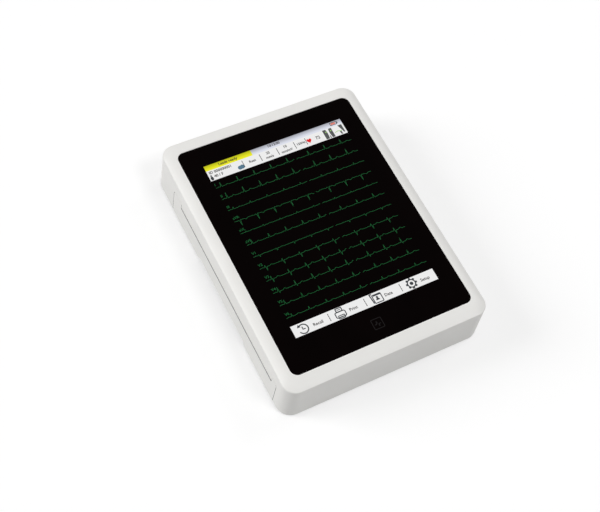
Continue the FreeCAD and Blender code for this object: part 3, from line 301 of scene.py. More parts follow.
tape = new_finish("tape_black", srgb(24, 24, 25), 0.9)
cells = cloud(tape, 0.4, detail=1.0)
colour_by(tape, mottle(tape, cells, srgb(18, 18, 19), srgb(38, 38, 40)))
relief(tape, cells, 0.08)
print("rubber and tape done")

# %% [markdown]
# ## Ceramic
# The heater bar of the print head is pale ceramic with one dark glazed line where the dots burn. A second
# material on some faces could draw it, but a CAD solid's mesh is left alone. So the line is a stripe in the
# pattern: a spot's place along X decides the colour.

# %% Ceramic
HEATER_LINE_HALF = 0.6 * MM


def middle(node, axis):
    """The middle of a solid along x, y or z, in metres."""
    return sum(getattr(corner, axis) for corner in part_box(node)) / 2


def spot(material, axis):
    """Object coordinate along X, Y or Z, in metres."""
    tree = material.node_tree
    place = put(tree, "ShaderNodeTexCoord").outputs["Object"]
    return put(tree, "ShaderNodeSeparateXYZ", Vector=place).outputs[axis]


heater_x = middle("head_heater_bar", "x")
ceramic = new_finish("ceramic", srgb(222, 216, 202), 0.3)
from_line = calc(ceramic.node_tree, "SUBTRACT", spot(ceramic, "X"), heater_x)
off_line = calc(ceramic.node_tree, "ABSOLUTE", from_line)
on_line = calc(ceramic.node_tree, "LESS_THAN", off_line, HEATER_LINE_HALF)
clay = mottle(ceramic, cloud(ceramic, 1.0), srgb(226, 220, 206), srgb(208, 201, 186))
colour_by(ceramic, blend(ceramic, on_line, clay, srgb(60, 44, 34)))
print("heater line at x =", round(heater_x / MM, 2), "mm")

# %% [markdown]
# ## Circuit boards
# A circuit board is green lacquer over copper: the tracks show as paler lines that run along and across
# in pieces. A picture could hold them, but a rule does too: lanes at an even pitch, cut into runs, where a
# White Noise node picks which runs carry a track.

# %% Boards
LANE_MM = 1.27
RUN_MM = 7.0
TRACK_SHARE = 0.32
EMPTY_SHARE = 0.55


def tracks(material, along, across):
    """1 on copper tracks that run along one axis in pieces, 0 beside them."""
    tree = material.node_tree
    lane = calc(tree, "DIVIDE", spot(material, across), LANE_MM * MM)
    run = calc(tree, "DIVIDE", spot(material, along), RUN_MM * MM)
    cell = made(tree, "ShaderNodeCombineXYZ", X=calc(tree, "FLOOR", lane), Y=calc(tree, "FLOOR", run))
    chance = put(tree, "ShaderNodeTexWhiteNoise", Vector=cell).outputs["Value"]
    in_lane = calc(tree, "LESS_THAN", calc(tree, "FRACT", lane), TRACK_SHARE)
    return calc(tree, "MULTIPLY", in_lane, calc(tree, "GREATER_THAN", chance, EMPTY_SHARE))


board = new_finish("board_green", srgb(22, 88, 52), 0.35)
copper = calc(board.node_tree, "MAXIMUM", tracks(board, "X", "Y"), tracks(board, "Y", "X"))
lacquer = mottle(board, cloud(board, 12.0), srgb(18, 78, 46), srgb(24, 90, 54))
colour_by(board, blend(board, copper, lacquer, srgb(72, 132, 78)))
relief(board, copper, 0.03, 0.6)
print("board tracks every", LANE_MM, "mm")

# %% [markdown]
# ## Ribbon cables and the battery's sleeve
# A ribbon cable is a band of wires side by side, each in its own round of plastic. Separate wires could be
# modelled, but the cable is one solid, so a sine along its width dents each wire into its round and also
# paints
# its light and dark into the colour: a painted highlight on each round and painted shade in the grooves.
# The battery's sleeve is shrunk film, so it is glossy with soft wrinkles drawn out along the cells.

# %% Ribbon and sleeve
CONDUCTOR_MM = 1.27


def ripple(material, pitch_mm):
    """A sine along X with this pitch, from -1 to 1."""
    tree = material.node_tree
    turn = calc(tree, "MULTIPLY", spot(material, "X"), 2 * math.pi / (pitch_mm * MM))
    return calc(tree, "SINE", turn)


ribbon = new_finish("ribbon", srgb(206, 208, 210), 0.5)
bands = ripple(ribbon, CONDUCTOR_MM)
# Painted highlight and painted shade: each round wire is lighter on top and darker in the grooves beside
# it.
painted_wire_shade = spread(ribbon, bands, 0, 1, -1, 1)
colour_by(ribbon, blend(ribbon, painted_wire_shade, srgb(150, 153, 158), srgb(214, 216, 218)))
relief(ribbon, bands, 0.15)

sleeve = new_finish("battery_wrap", srgb(38, 62, 120), 0.3)
wrinkles = cloud(sleeve, 9.0, (1, 4, 1), detail=3.0)
colour_by(sleeve, mottle(sleeve, wrinkles, srgb(32, 54, 108), srgb(48, 76, 140)))
gloss_by(sleeve, wrinkles, 0.22, 0.4)
relief(sleeve, wrinkles, 0.25)
print("ribbon and sleeve done")

# %% [markdown]
# ## Recording paper
# Recording paper is thermal paper with a pale red grid, a thin line each millimetre and a stronger one
# every five. A bitmap could hold it, but two grids from plain arithmetic stay sharp at any distance: the
# remainder of a coordinate divided by the line spacing is small only on a line.

# %% Paper
# grid: (spacing mm, line width mm)
FINE_GRID = (1.0, 0.12)
STRONG_GRID = (5.0, 0.25)


def grid_lines(material, spacing_mm, width_mm):
    """1 on the lines of a square grid over X and Y, 0 between them."""
    tree = material.node_tree
    lines = []
    for axis in "XY":
        step = calc(tree, "DIVIDE", spot(material, axis), spacing_mm * MM)
        lines.append(calc(tree, "LESS_THAN", calc(tree, "FRACT", step), width_mm / spacing_mm))
    return calc(tree, "MAXIMUM", *lines)


paper = new_finish("paper", srgb(244, 241, 236), 0.7)
fibre = mottle(paper, cloud(paper, 0.6, detail=4.0), srgb(246, 244, 239), srgb(238, 235, 229))
fine_ruled = blend(paper, grid_lines(paper, *FINE_GRID), fibre, srgb(244, 214, 206))
colour_by(paper, blend(paper, grid_lines(paper, *STRONG_GRID), fine_ruled, srgb(232, 168, 158)))
relief(paper, cloud(paper, 0.3), 0.01, 0.4)
print("paper grid at", FINE_GRID[0], "and", STRONG_GRID[0], "mm")

# %% [markdown]
# ## Black glass
# The cover is one sheet of glass printed black on its back, so it shows no depth, only gloss. Real screens
# carry a coating that stops most reflections, which is why the glass stays black under a white studio.
# The coating could be a layer of its own, but a low specular level says the same, and a wandering
# roughness leaves the trace of a wiped surface.

# %% Glass
COATED_SPECULAR = 0.013
glass = new_finish("glass_black", srgb(5, 1, 1), 0.05, specular=COATED_SPECULAR)
wiped = cloud(glass, 30.0, (1, 3, 1), detail=3.0)
colour_by(glass, mottle(glass, wiped, srgb(4, 1, 1), srgb(6, 2, 2)))
gloss_by(glass, wiped, 0.03, 0.09)
print("glass done")

# %% [markdown]
# ## Light from the display
# What the screen shows is light. Painted colours under the lamps would change with the studio, so these
# are emission at strength 1, which renders as the colour is written. Up close a display is rows of
# pixels, so a fine ripple with the pixel's own pitch runs over each colour. Two of the bars fade towards
# their top edge, which is a mix by the place along Y.

# %% Display colours
PIXEL_MM = 0.208
PIXEL_RIPPLE = 0.06
UNLIT = (0.004, 0.004, 0.004)
UNLIT_ROUGHNESS, UNLIT_SPECULAR = 0.08, 0.04
STRIP_FADE = (0.1060, 0.1113)


def glowing(name, colour, top_colour=None, fade=STRIP_FADE):
    """A display colour, fading to top_colour between two places along Y in metres."""
    material = new_finish(name, UNLIT, UNLIT_ROUGHNESS, specular=UNLIT_SPECULAR)
    base = colour
    if top_colour:
        base = blend(material, spread(material, spot(material, "Y"), 0, 1, *fade), colour, top_colour)
    dimming = spread(material, ripple(material, PIXEL_MM), 0, PIXEL_RIPPLE, -1, 1)
    wire(material.node_tree, field(material, "Emission Color"), blend(material, dimming, base, (0, 0, 0)))
    field(material, "Emission Strength").default_value = 1.0
    return material


BAR_WHITE = glowing("display_white", srgb(239, 239, 239))
STRIP_BLUE = glowing("display_strip", srgb(224, 227, 239), srgb(160, 162, 172))
TAB_YELLOW = glowing("display_yellow", srgb(239, 236, 34), srgb(184, 184, 18))
INK_GREY = glowing("display_ink", srgb(58, 62, 66))
CHART_GREY = glowing("display_chart", srgb(86, 88, 88))
WORD_GREY = glowing("display_words", srgb(52, 49, 47))
TRACE_GREEN = glowing("display_green", srgb(22, 101, 52))
DOT_GREEN = glowing("display_dots", srgb(158, 206, 116))
HEART_RED = glowing("display_red", srgb(222, 28, 30))
CLOUD_BLUE = glowing("display_blue", srgb(86, 120, 142))
CELL_RED = glowing("display_battery", srgb(226, 124, 108))
KEY_GREY = glowing("display_key", srgb(31, 29, 30))
FINISHES["display"] = glowing("display_dark", srgb(8, 9, 11))
print("display colours:", sum(name.startswith("display_") for name in FINISHES))

# %% [markdown]
# ## Finishes onto the solids
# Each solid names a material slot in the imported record. A finish could be given to each by hand, but
# reading that list keeps the link between part and finish in one place, and no solid can be missed.

# %% Assign the finishes
for part in frame["record"]["subparts"]:
    solid = frame["nodes"][part["node"]]
    for material_slot in solid.material_slots:
        material_slot.material = FINISHES[part["material_slot"]]

# %% [markdown]
# ## Flat shapes for the screen
# The picture on the screen is made of thin plates a few hundredths of a millimetre above the glass, in
# three layers so that words lie over bars. They could be drawn in a texture, but then no shape would be
# left in the mesh. Each outline is a list of points in millimetres from the middle of the glass, and a
# second outline inside the first is a hole. The plates are closed, with a top, an underside and an edge.

# %% Plates
SCREEN_GAP = 0.006 * MM
LAYER = 0.025 * MM
PLATE_T = 0.018 * MM


def on_screen(layer):
    """Maps an outline point and a height to its place on the glass."""
    floor = GLASS_Z + SCREEN_GAP + layer * LAYER
    return lambda u, v, h: (u * MM, v * MM, floor + h)


def plate(bm, outlines, place, thickness=PLATE_T):
    """Adds a closed thin plate from an outline and its holes."""
    loops = [[Vector((u, v, 0)) for u, v in outline] for outline in outlines]
    triangles = tessellate_polygon(loops)
    points = [p for loop in loops for p in loop]
    low = [bm.verts.new(place(p.x, p.y, 0)) for p in points]
    top = [bm.verts.new(place(p.x, p.y, thickness)) for p in points]
    for a, b, c in triangles:
        bm.faces.new((top[a], top[b], top[c]))
        bm.faces.new((low[c], low[b], low[a]))
    first = 0
    for loop in loops:
        for k in range(len(loop)):
            i, j = first + k, first + (k + 1) % len(loop)
            bm.faces.new((low[i], low[j], top[j], top[i]))
        first += len(loop)


print("plates", round(PLATE_T / MM, 3), "mm thick, layers", round(LAYER / MM, 3), "mm apart")

# %% [markdown]
# ## From a mesh to a piece
# A mesh becomes a piece of the object when it is in the scene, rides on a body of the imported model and
# names the slot of its finish. Those calls could stand after every mesh, but one helper can't forget one.

# %% Piece helpers
def settle(name, mesh, body):
    """Puts a plain mesh in the scene as a piece of the object."""
    piece = in_scene(name, mesh)
    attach(piece, body)
    print(f"{name}: {len(mesh.polygons)} faces on {body}")
    return piece


def finished(name, bm, material, body):
    """Turns a bmesh into a piece that rides on a body, with its faces outwards."""
    bmesh.ops.recalc_face_normals(bm, faces=bm.faces)
    mesh = bpy.data.meshes.new(name)
    bm.to_mesh(mesh)
    bm.free()
    mesh.materials.append(material)
    settle(name, mesh, body)


def shown(name, shapes, material, layer):
    """A piece of the screen's picture from several shapes in one colour."""
    bm = bmesh.new()
    for outlines in shapes:
        plate(bm, outlines, on_screen(layer))
    finished(name, bm, material, "housing")


print("piece helpers ready")

# %% [markdown]
# ## The two bars
# The screen has a status bar at the top, with a yellow tab and a pale strip over a white field, and a
# white menu bar at the bottom. One plate with painted fields could serve, but a plate for each colour keeps
# its edge sharp. They are plain rectangles, measured on the photograph after its view was turned square.

# %% Bars
BAR_HALF = 79.8
STATUS_Y = (92.1, 104.8, 111.3)
MENU_BAR_Y = (-100.3, -87.5)
TAB_END = -26.6


def box(x0, y0, x1, y1):
    """The four corners of a rectangle."""
    return [(x0, y0), (x1, y0), (x1, y1), (x0, y1)]


shown("screen_status_bar", [[box(-BAR_HALF, STATUS_Y[0], BAR_HALF, STATUS_Y[1])]], BAR_WHITE, 0)
shown("screen_status_strip", [[box(TAB_END, STATUS_Y[1], BAR_HALF, STATUS_Y[2])]], STRIP_BLUE, 0)
shown("screen_status_tab", [[box(-BAR_HALF, STATUS_Y[1], TAB_END, STATUS_Y[2])]], TAB_YELLOW, 0)
shown("screen_menu_bar", [[box(-BAR_HALF, MENU_BAR_Y[0], BAR_HALF, MENU_BAR_Y[1])]], BAR_WHITE, 0)

# %% [markdown]
# ## Words and numbers
# Labels on a recorder are plain: lead names, speed, gain, filter and the names of four menus. Letters could
# be drawn stroke by stroke, but a text object makes them, and an offset makes them bolder. The result is
# turned into a mesh before it is moved, so that the finished piece sits at the origin with its place in
# its points.

# %% Word helpers
WORD_RESOLUTION = 2
WORD_BOLD = 0.11
SAME_POINT = 1e-7


def plain_mesh(maker):
    """Keeps the evaluated shape of an object as a plain mesh, and removes the object."""
    evaluated = maker.evaluated_get(bpy.context.evaluated_depsgraph_get())
    mesh = bpy.data.meshes.new_from_object(evaluated)
    bpy.data.objects.remove(maker)
    return mesh


def letters(bm, text, size, place, align, bold):
    """Adds a word in plain letters, of this height in mm, to a bmesh."""
    font = bpy.data.curves.new("letters", "FONT")
    font.body = text
    font.offset = bold * MM
    font.size = size * MM
    font.align_x = align
    font.align_y = "CENTER"
    font.extrude = PLATE_T / 2
    font.resolution_u = WORD_RESOLUTION
    mesh = plain_mesh(in_scene("letters", font))
    for vertex in mesh.vertices:
        vertex.co += Vector(place)
    bm.from_mesh(mesh)
    bpy.data.meshes.remove(mesh)


def wording(name, rows, material, layer, bold=WORD_BOLD):
    """A piece from several words, each with its size and place."""
    bm = bmesh.new()
    for text, size, x, y, align in rows:
        letters(bm, text, size, on_screen(layer)(x, y, PLATE_T / 2), align, bold)
    bmesh.ops.remove_doubles(bm, verts=bm.verts, dist=SAME_POINT)
    finished(name, bm, material, "housing")


print("word helpers ready")

# %% [markdown]
# ## The words of both bars
# The status bar says which leads are ready, the time, a record's number, the speed, the gain, the filter
# and the heart rate. The menu bar names its four menus in thinner letters. A list of rows holds each word
# with its height and place, which is easier to change than a line of code for each.

# %% Words
MENU_WORD_SIZE = 4.6
MENU_WORD_Y = -94.7
MENU_BOLD = 0.09
# (word, height, x, y, side that the place is for), in mm
STATUS_WORDS = [
    ("Leads ready", 4.4, -53.7, 108.2, "CENTER"), ("10:12:00", 4.2, -0.8, 108.6, "CENTER"),
    ("ID 000000001", 4.4, -77.8, 101.7, "LEFT"), ("40 / F", 4.4, -74.2, 96.4, "LEFT"),
    ("Rest", 4.2, -30.0, 98.5, "CENTER"), ("25", 4.2, -10.7, 101.4, "CENTER"),
    ("mm/s", 4.0, -10.7, 96.2, "CENTER"), ("10", 4.2, 9.3, 101.7, "CENTER"),
    ("mm/mV", 4.0, 9.3, 96.1, "CENTER"), ("150Hz", 3.8, 26.8, 98.8, "CENTER"),
    ("72", 5.2, 46.8, 98.4, "CENTER"),
]
MENU_WORDS = [("Recall", -52.9), ("Print", -14.1), ("Data", 25.4), ("Setup", 67.4)]
menu_rows = [(word, MENU_WORD_SIZE, x, MENU_WORD_Y, "CENTER") for word, x in MENU_WORDS]
wording("screen_status_words", STATUS_WORDS, WORD_GREY, 1)
wording("screen_menu_words", menu_rows, WORD_GREY, 1, MENU_BOLD)

# %% [markdown]
# ## Outlines for pictures
# The small pictures on the screen are made of arcs, strokes and frames. They could be traced point by
# point, but these few shapes draw them all, and a changed radius or line width then takes one number.

# %% Outline helpers
LINE = 1.0
CORNER_STEPS = 5
SHARPEST_INNER = 0.2
MITRE_LIMIT = 0.5


def arc(x, y, radius, start=0.0, end=360.0, steps=28):
    """Points on a circle between two angles in degrees. A whole circle doesn't repeat its first point."""
    count = steps if abs(end - start) == 360 else steps + 1
    angles = [math.radians(start + (end - start) * k / steps) for k in range(count)]
    return [(x + radius * math.cos(a), y + radius * math.sin(a)) for a in angles]


def rounded(x0, y0, x1, y1, radius):
    """A box with round corners."""
    left, right, low, high = x0 + radius, x1 - radius, y0 + radius, y1 - radius
    corners = ((right, high, 0), (left, high, 90), (left, low, 180), (right, low, 270))
    return [p for x, y, a in corners for p in arc(x, y, radius, a, a + 90, CORNER_STEPS)]


def frame_box(x0, y0, x1, y1, radius, width=LINE):
    """A box with round corners and a hole that leaves a frame of this width."""
    inner_radius = max(radius - width, SHARPEST_INNER)
    inner = rounded(x0 + width, y0 + width, x1 - width, y1 - width, inner_radius)
    return [rounded(x0, y0, x1, y1, radius), inner]


def stroke(points, width):
    """Outline of a line of this width along some points."""
    left, right = [], []
    path = [Vector(p) for p in points]
    for k, p in enumerate(path):
        before = (p - path[k - 1]).normalized() if k else None
        after = (path[k + 1] - p).normalized() if k + 1 < len(path) else None
        along = ((before or after) + (after or before)).normalized()
        reach = width / 2 / max(MITRE_LIMIT, along.dot(before or after))
        side = Vector((-along.y, along.x)) * reach
        left.append(tuple(p + side))
        right.append(tuple(p - side))
    return left + right[::-1]


print("outline helpers ready")

# %% [markdown]
# ## Menu pictures: clock and printer
# The first two menus show a clock with an arrow, for earlier records, and a printer. Both are common
# pictograms of such menus. Each is drawn round its own middle, so that it can be moved as a whole later.

# %% Clock and printer
CLOCK_RADIUS = 5.5
CLOCK_LINE = 1.2
CLOCK_FROM, CLOCK_TO = -156, 128
CLOCK_STEPS = 36
clock_ring = arc(0, 0, CLOCK_RADIUS, CLOCK_FROM, CLOCK_TO, CLOCK_STEPS)
clock_ring += arc(0, 0, CLOCK_RADIUS - CLOCK_LINE, CLOCK_TO, CLOCK_FROM, CLOCK_STEPS)
clock_arrow = [(-5.6, 2.9), (-1.7, 2.7), (-3.6, 6.0)]
clock_hands = stroke([(-0.6, 2.7), (-0.6, -0.2), (2.2, -0.2)], LINE)
clock = [[clock_ring], [clock_arrow], [clock_hands]]

PRINTER_LINE, TRAY_LINE, PRINT_LINE = 1.05, 0.9, 0.7
printer_sheet = frame_box(-3.7, 1.4, 3.7, 6.2, 0.8, PRINTER_LINE)
printer_body = frame_box(-5.9, -4.7, 5.9, 2.3, 1.9, PRINTER_LINE)
printer_tray = frame_box(-3.7, -6.0, 3.7, -1.9, 0.8, TRAY_LINE)
printed = [[stroke([(-2.0, y), (2.0, y)], PRINT_LINE)] for y in (3.9, -3.9)]
printer = [printer_sheet, printer_body, printer_tray] + printed
print("clock and printer:", len(clock), "and", len(printer), "shapes")

# %% [markdown]
# ## Menu pictures: card and cogwheel
# The other two menus show a card in a folder, with a head and shoulders on it, and a cogwheel for the
# settings. The cogwheel could be drawn tooth by tooth, but it follows a rule, so a loop counts them out.

# %% Card and cogwheel
FOLDER_LINE = 1.2
folder = stroke([(-3.6, 5.6), (-5.9, 5.6), (-5.0, -4.6)], FOLDER_LINE)
card_front = frame_box(-4.4, -5.5, 6.0, 4.6, 1.2)
card_edge = box(-3.0, 2.6, 5.2, 4.0)
card_head = arc(0.5, 0.9, 1.15, steps=16)
card_shoulders = [(-1.7, -2.3), (2.7, -2.3)] + arc(0.5, -1.9, 1.9, 10, 170, 10)
card = [[folder], card_front, [card_edge], [card_head], [card_shoulders]]

COG_TEETH = 8
COG_ROOT, COG_TIP, COG_HOLE, COG_HUB = 4.9, 6.25, 3.6, 1.85
# (place in shares of a tooth's pitch, radius)
COG_TOOTH = ((-0.29, COG_ROOT), (-0.22, COG_TIP), (0.22, COG_TIP), (0.29, COG_ROOT))
cog_rim = []
for k in range(COG_TEETH):
    for share, radius in COG_TOOTH:
        angle = 2 * math.pi * (k + share) / COG_TEETH
        cog_rim.append((radius * math.cos(angle), radius * math.sin(angle)))
cogwheel = [[cog_rim, arc(0, 0, COG_HOLE)], [arc(0, 0, COG_HUB)]]
print("card and cogwheel:", len(card), "and", len(cogwheel), "shapes")

# %% [markdown]
# ## Menu pictures in their places
# Each picture stands left of its menu's word. Four pieces could carry them, but they have one colour and
# never move apart, so one piece holds them all.

# %% Menu pictures
# (picture, x, y of its middle in mm)
MENU_PICTURES = (
    (clock, -68.7, -94.4), (printer, -28.4, -94.0), (card, 12.6, -94.0), (cogwheel, 52.3, -93.8),
)


def moved(outline, x, y):
    """An outline shifted to another place."""
    return [(u + x, v + y) for u, v in outline]


menu_shapes = []
for picture, x, y in MENU_PICTURES:
    menu_shapes += [[moved(outline, x, y) for outline in shape] for shape in picture]
shown("screen_menu_pictures", menu_shapes, INK_GREY, 1)

# %% [markdown]
# ## Status pictures
# The status bar carries a small figure, a battery and two contact charts, which are grey blocks with a
# pale body and green dots for good contact. One plate could be painted in all these colours, but each
# colour is a piece of its own, so its edge is a real edge. What lies over another shape takes the next
# layer.

# %% Figure, battery and charts
figure = [[arc(-77.2, 98.1, 0.95, steps=14)], [rounded(-78.7, 92.7, -75.7, 97.0, 1.2)]]
battery_case = [frame_box(66.2, 106.4, 74.4, 110.3, 0.7, 0.7), [box(74.5, 107.3, 75.4, 109.4)]]
shown("screen_dark_marks", figure + battery_case, INK_GREY, 1)

arm = [(73.3, 104.4), (77.9, 104.4), (78.0, 94.2), (76.7, 94.2)]
hand = [(72.3, 96.6), (74.2, 96.9), (74.6, 92.8), (72.9, 92.8)]
shown("screen_charts", [[box(54.7, 92.6, 65.4, 104.4)], [arm], [hand]], CHART_GREY, 1)
trunk = [(58.7, 104.4), (61.9, 104.4), (61.3, 99.0), (62.0, 92.6), (61.0, 92.6)]
trunk += [(60.3, 97.6), (59.6, 92.6), (58.6, 92.6), (59.3, 99.0)]
shown("screen_chart_body", [[trunk]], BAR_WHITE, 2)

DOT_STEPS = 12
LIMB_DOT, CHEST_DOT = 0.8, 0.6
CHEST_DOTS, CHEST_START = 6, (67.6, 97.2)
CHEST_PITCH, CHEST_SWAY, CHEST_TURN = 1.35, 0.6, 0.7
limb_dots = [[arc(x, 101.2, LIMB_DOT, steps=DOT_STEPS)] for x in (57.9, 63.6)]
chest_line = [(CHEST_PITCH * k, CHEST_SWAY * math.sin(CHEST_TURN * k)) for k in range(CHEST_DOTS)]
chest_dots = [[arc(x, y, CHEST_DOT, steps=DOT_STEPS)] for x, y in moved(chest_line, *CHEST_START)]
shown("screen_contact_dots", limb_dots + chest_dots, DOT_GREEN, 2)

# %% [markdown]
# ## Heart, cloud and battery cell
# A red heart stands by the heart rate, a blue cloud says that records are sent on, and a red bar fills the
# battery. A heart could be two arcs and a point, but the well-known heart curve gives its swing in one
# formula. The cloud is two arcs that meet.

# %% Heart, cloud and battery cell
HEART_STEPS = 32
HEART_STRETCH = 1.15


def heart(x, y, size):
    """The usual heart curve, sized to its half width and stretched a little upright."""
    turns = [2 * math.pi * k / HEART_STEPS for k in range(HEART_STEPS)]
    wide = [16 * math.sin(t) ** 3 for t in turns]
    high = [13 * math.cos(t) - 5 * math.cos(2 * t) - 2 * math.cos(3 * t) - math.cos(4 * t) for t in turns]
    return [(x + u * size / 16, y + v * size * HEART_STRETCH / 16) for u, v in zip(wide, high)]


shown("screen_heart", [[heart(36.5, 98.5, 2.75)]], HEART_RED, 1)
cloud_outline = arc(-45.2, 95.9, 2.4, 66, 307, 18) + arc(-42.6, 96.2, 2.5, -117, 130, 18)
shown("screen_cloud", [[cloud_outline]], CLOUD_BLUE, 1)
shown("screen_battery_cell", [[box(67.3, 107.3, 72.6, 109.4)]], CELL_RED, 1)

# %% [markdown]
# ## Running Geometry Nodes from a script
# Dashes, traces, contacts and paper folds all repeat or follow a rule, which is what Geometry Nodes are
# for. A tree takes a few loose points as its places and named numbers as its sizes. The helper sets each
# number by its socket's identifier, evaluates the modifier once, and keeps the result as a plain mesh, so
# that the finished piece has no modifier left.

# %% Geometry Nodes helpers
def new_tree(name, numbers, whole=()):
    """An empty tree with named number inputs. Returns it with its input sockets by name."""
    tree = bpy.data.node_groups.new(name, "GeometryNodeTree")
    face = tree.interface
    face.new_socket("Places", in_out="INPUT", socket_type="NodeSocketGeometry")
    for title in numbers:
        face.new_socket(title, in_out="INPUT", socket_type="NodeSocketFloat")
    for title in whole:
        face.new_socket(title, in_out="INPUT", socket_type="NodeSocketInt")
    face.new_socket("Finish", in_out="INPUT", socket_type="NodeSocketMaterial")
    face.new_socket("Result", in_out="OUTPUT", socket_type="NodeSocketGeometry")
    inputs = tree.nodes.new("NodeGroupInput")
    return tree, {socket.name: socket for socket in inputs.outputs if socket.name}


def end_tree(tree, shape, finish):
    """Ends a tree in Realize Instances and Set Material."""
    solid = made(tree, "GeometryNodeRealizeInstances", Geometry=shape)
    coated = made(tree, "GeometryNodeSetMaterial", Geometry=solid, Material=finish)
    tree.links.new(coated, tree.nodes.new("NodeGroupOutput").inputs[0])
    print(f"{tree.name} tree: {len(tree.nodes)} nodes")


def grown(tree, name, places, values, body, marks=None, chained=()):
    """Runs a tree on some places, with an attribute for each row of marks, and settles the plain mesh.
    Where the places are paths, chained gives the number of points in each."""
    edges, first = [], 0
    for count in chained:
        edges += [(k, k + 1) for k in range(first, first + count - 1)]
        first += count
    seeds = bpy.data.meshes.new(name)
    seeds.from_pydata(places, edges, [])
    for title, row in (marks or {}).items():
        seeds.attributes.new(title, "FLOAT", "POINT").data.foreach_set("value", row)
    maker = in_scene(name + "_maker", seeds)
    modifier = maker.modifiers.new("tree", "NODES")
    modifier.node_group = tree
    for socket in tree.interface.items_tree:
        if socket.in_out == "INPUT" and socket.name in values:
            modifier[socket.identifier] = values[socket.name]
    mesh = plain_mesh(maker)
    mesh.name = name
    return settle(name, mesh, body)


print("tree helpers ready")

# %% [markdown]
# ## Dashed dividers
# Fields of both bars are divided by short dashed lines. An array of boxes would do, but the same tree
# serves every divider: each place gets a column of dashes, and the number, pitch and size are inputs.

# %% Dividers
DIVIDER_SIZES = ["Dash width", "Dash length", "Dash pitch", "Thickness"]
tree, given = new_tree("dashed_divider", DIVIDER_SIZES, ["Dashes"])
dash_width, dash_length = given["Dash width"], given["Dash length"]
size = made(tree, "ShaderNodeCombineXYZ", X=dash_width, Y=dash_length, Z=given["Thickness"])
dash = made(tree, "GeometryNodeMeshCube", Size=size)
step = made(tree, "ShaderNodeCombineXYZ", Y=given["Dash pitch"])
column = made(tree, "GeometryNodeMeshLine", Count=given["Dashes"], Offset=step)
dashes = made(tree, "GeometryNodeInstanceOnPoints", Points=column, Instance=dash)
dividers = made(tree, "GeometryNodeInstanceOnPoints", Points=given["Places"], Instance=dashes)
end_tree(tree, dividers, given["Finish"])

STATUS_DIVIDERS = [(x, 95.6) for x in (-40.2, -20.2, -0.2, 19.8, 33.0)]
MENU_DIVIDERS = [(x, -97.0) for x in (-40.4, -0.3, 40.0)]
divider_places = [on_screen(1)(x, y, PLATE_T / 2) for x, y in STATUS_DIVIDERS + MENU_DIVIDERS]
divider_sizes = {
    "Dash width": 0.75 * MM, "Dash length": 1.85 * MM, "Dash pitch": 2.15 * MM, "Thickness": PLATE_T,
    "Dashes": 4, "Finish": WORD_GREY,
}
grown(tree, "screen_dividers", divider_places, divider_sizes, "housing")

# %% [markdown]
# ## Twelve heart traces: the base lines
# The screen draws twelve leads. Each could be a curve drawn by hand, but a trace is the same beat with its
# own heights, so one tree draws them all. It starts with a straight row of points on each place, close
# enough together for the sharpest spike.

# %% Trace base lines
TRACE_SIZES = ["Length", "Beat pitch", "First beat", "Beat after gap", "Gap start", "Gap end"]
TRACE_SIZES += ["Line width", "Jitter", "Line height"]
tree, given = new_tree("heart_traces", TRACE_SIZES, ["Points"])
reach = calc(tree, "DIVIDE", given["Length"], calc(tree, "SUBTRACT", given["Points"], 1.0))
start = made(tree, "ShaderNodeCombineXYZ", X=calc(tree, "MULTIPLY", given["Length"], -0.5))
stride = made(tree, "ShaderNodeCombineXYZ", X=reach)
line = made(tree, "GeometryNodeMeshLine", Count=given["Points"], Start_Location=start, Offset=stride)
rows = made(tree, "GeometryNodeInstanceOnPoints", Points=given["Places"], Instance=line)
flat = made(tree, "GeometryNodeRealizeInstances", Geometry=rows)
print("trace inputs:", ", ".join(TRACE_SIZES))

# %% [markdown]
# ## Twelve heart traces: the beats
# A beat has a small P wave, the sharp QRS spike, which may dip afterwards, and a broad T wave. A bell curve
# gives each wave, and the distance to the nearest beat repeats them, so a lead is only five numbers on one
# point. The beats after the gap of the sweep are older, so they start at a place of their own. A little
# seeded noise keeps the base lines from looking ruled.

# %% Trace beats
# wave: (attribute with its height, middle in mm from the beat, half width in mm)
WAVES = (("p_wave", -3.2, 0.8), ("spike", 0.0, 0.42), ("dip", 0.8, 0.45), ("t_wave", 6.7, 1.3))
WOBBLE_SEED = 7.0
WOBBLES_PER_M = 900.0


def named(tree, title):
    """An attribute of the places, by its name."""
    node = put(tree, "GeometryNodeInputNamedAttribute", {"data_type": "FLOAT"}, Name=title)
    return node.outputs["Attribute"]


def bell(tree, distance, centre, half_width, height):
    """One wave: height times a bell curve round a centre."""
    share = calc(tree, "DIVIDE", calc(tree, "SUBTRACT", distance, centre * MM), half_width * MM)
    fall = calc(tree, "EXPONENT", calc(tree, "MULTIPLY", calc(tree, "MULTIPLY", share, share), -1.0))
    return calc(tree, "MULTIPLY", fall, height)


here = made(tree, "GeometryNodeInputPosition")
along = made(tree, "ShaderNodeSeparateXYZ", Vector=here)
late = calc(tree, "GREATER_THAN", along, given["Gap start"])
offset = calc(tree, "MULTIPLY", late, calc(tree, "SUBTRACT", given["Beat after gap"], given["First beat"]))
from_beat = calc(tree, "SUBTRACT", along, calc(tree, "ADD", given["First beat"], offset))
beat = calc(tree, "ROUND", calc(tree, "DIVIDE", from_beat, given["Beat pitch"]))
distance = calc(tree, "SUBTRACT", from_beat, calc(tree, "MULTIPLY", beat, given["Beat pitch"]))
lift = 0.0
for title, centre, half_width in WAVES:
    lift = calc(tree, "ADD", bell(tree, distance, centre, half_width, named(tree, title)), lift)
noise = {"Vector": here, "W": WOBBLE_SEED, "Scale": WOBBLES_PER_M, "Detail": 1.0}
wobble = made(tree, "ShaderNodeTexNoise", {"noise_dimensions": "4D"}, **noise)
shake = calc(tree, "MULTIPLY", calc(tree, "SUBTRACT", wobble, 0.5), given["Jitter"])
rise = made(tree, "ShaderNodeCombineXYZ", Y=calc(tree, "ADD", lift, shake))
waved = made(tree, "GeometryNodeSetPosition", Geometry=flat, Offset=rise)
print("waves in a beat:", ", ".join(wave[0] for wave in WAVES))

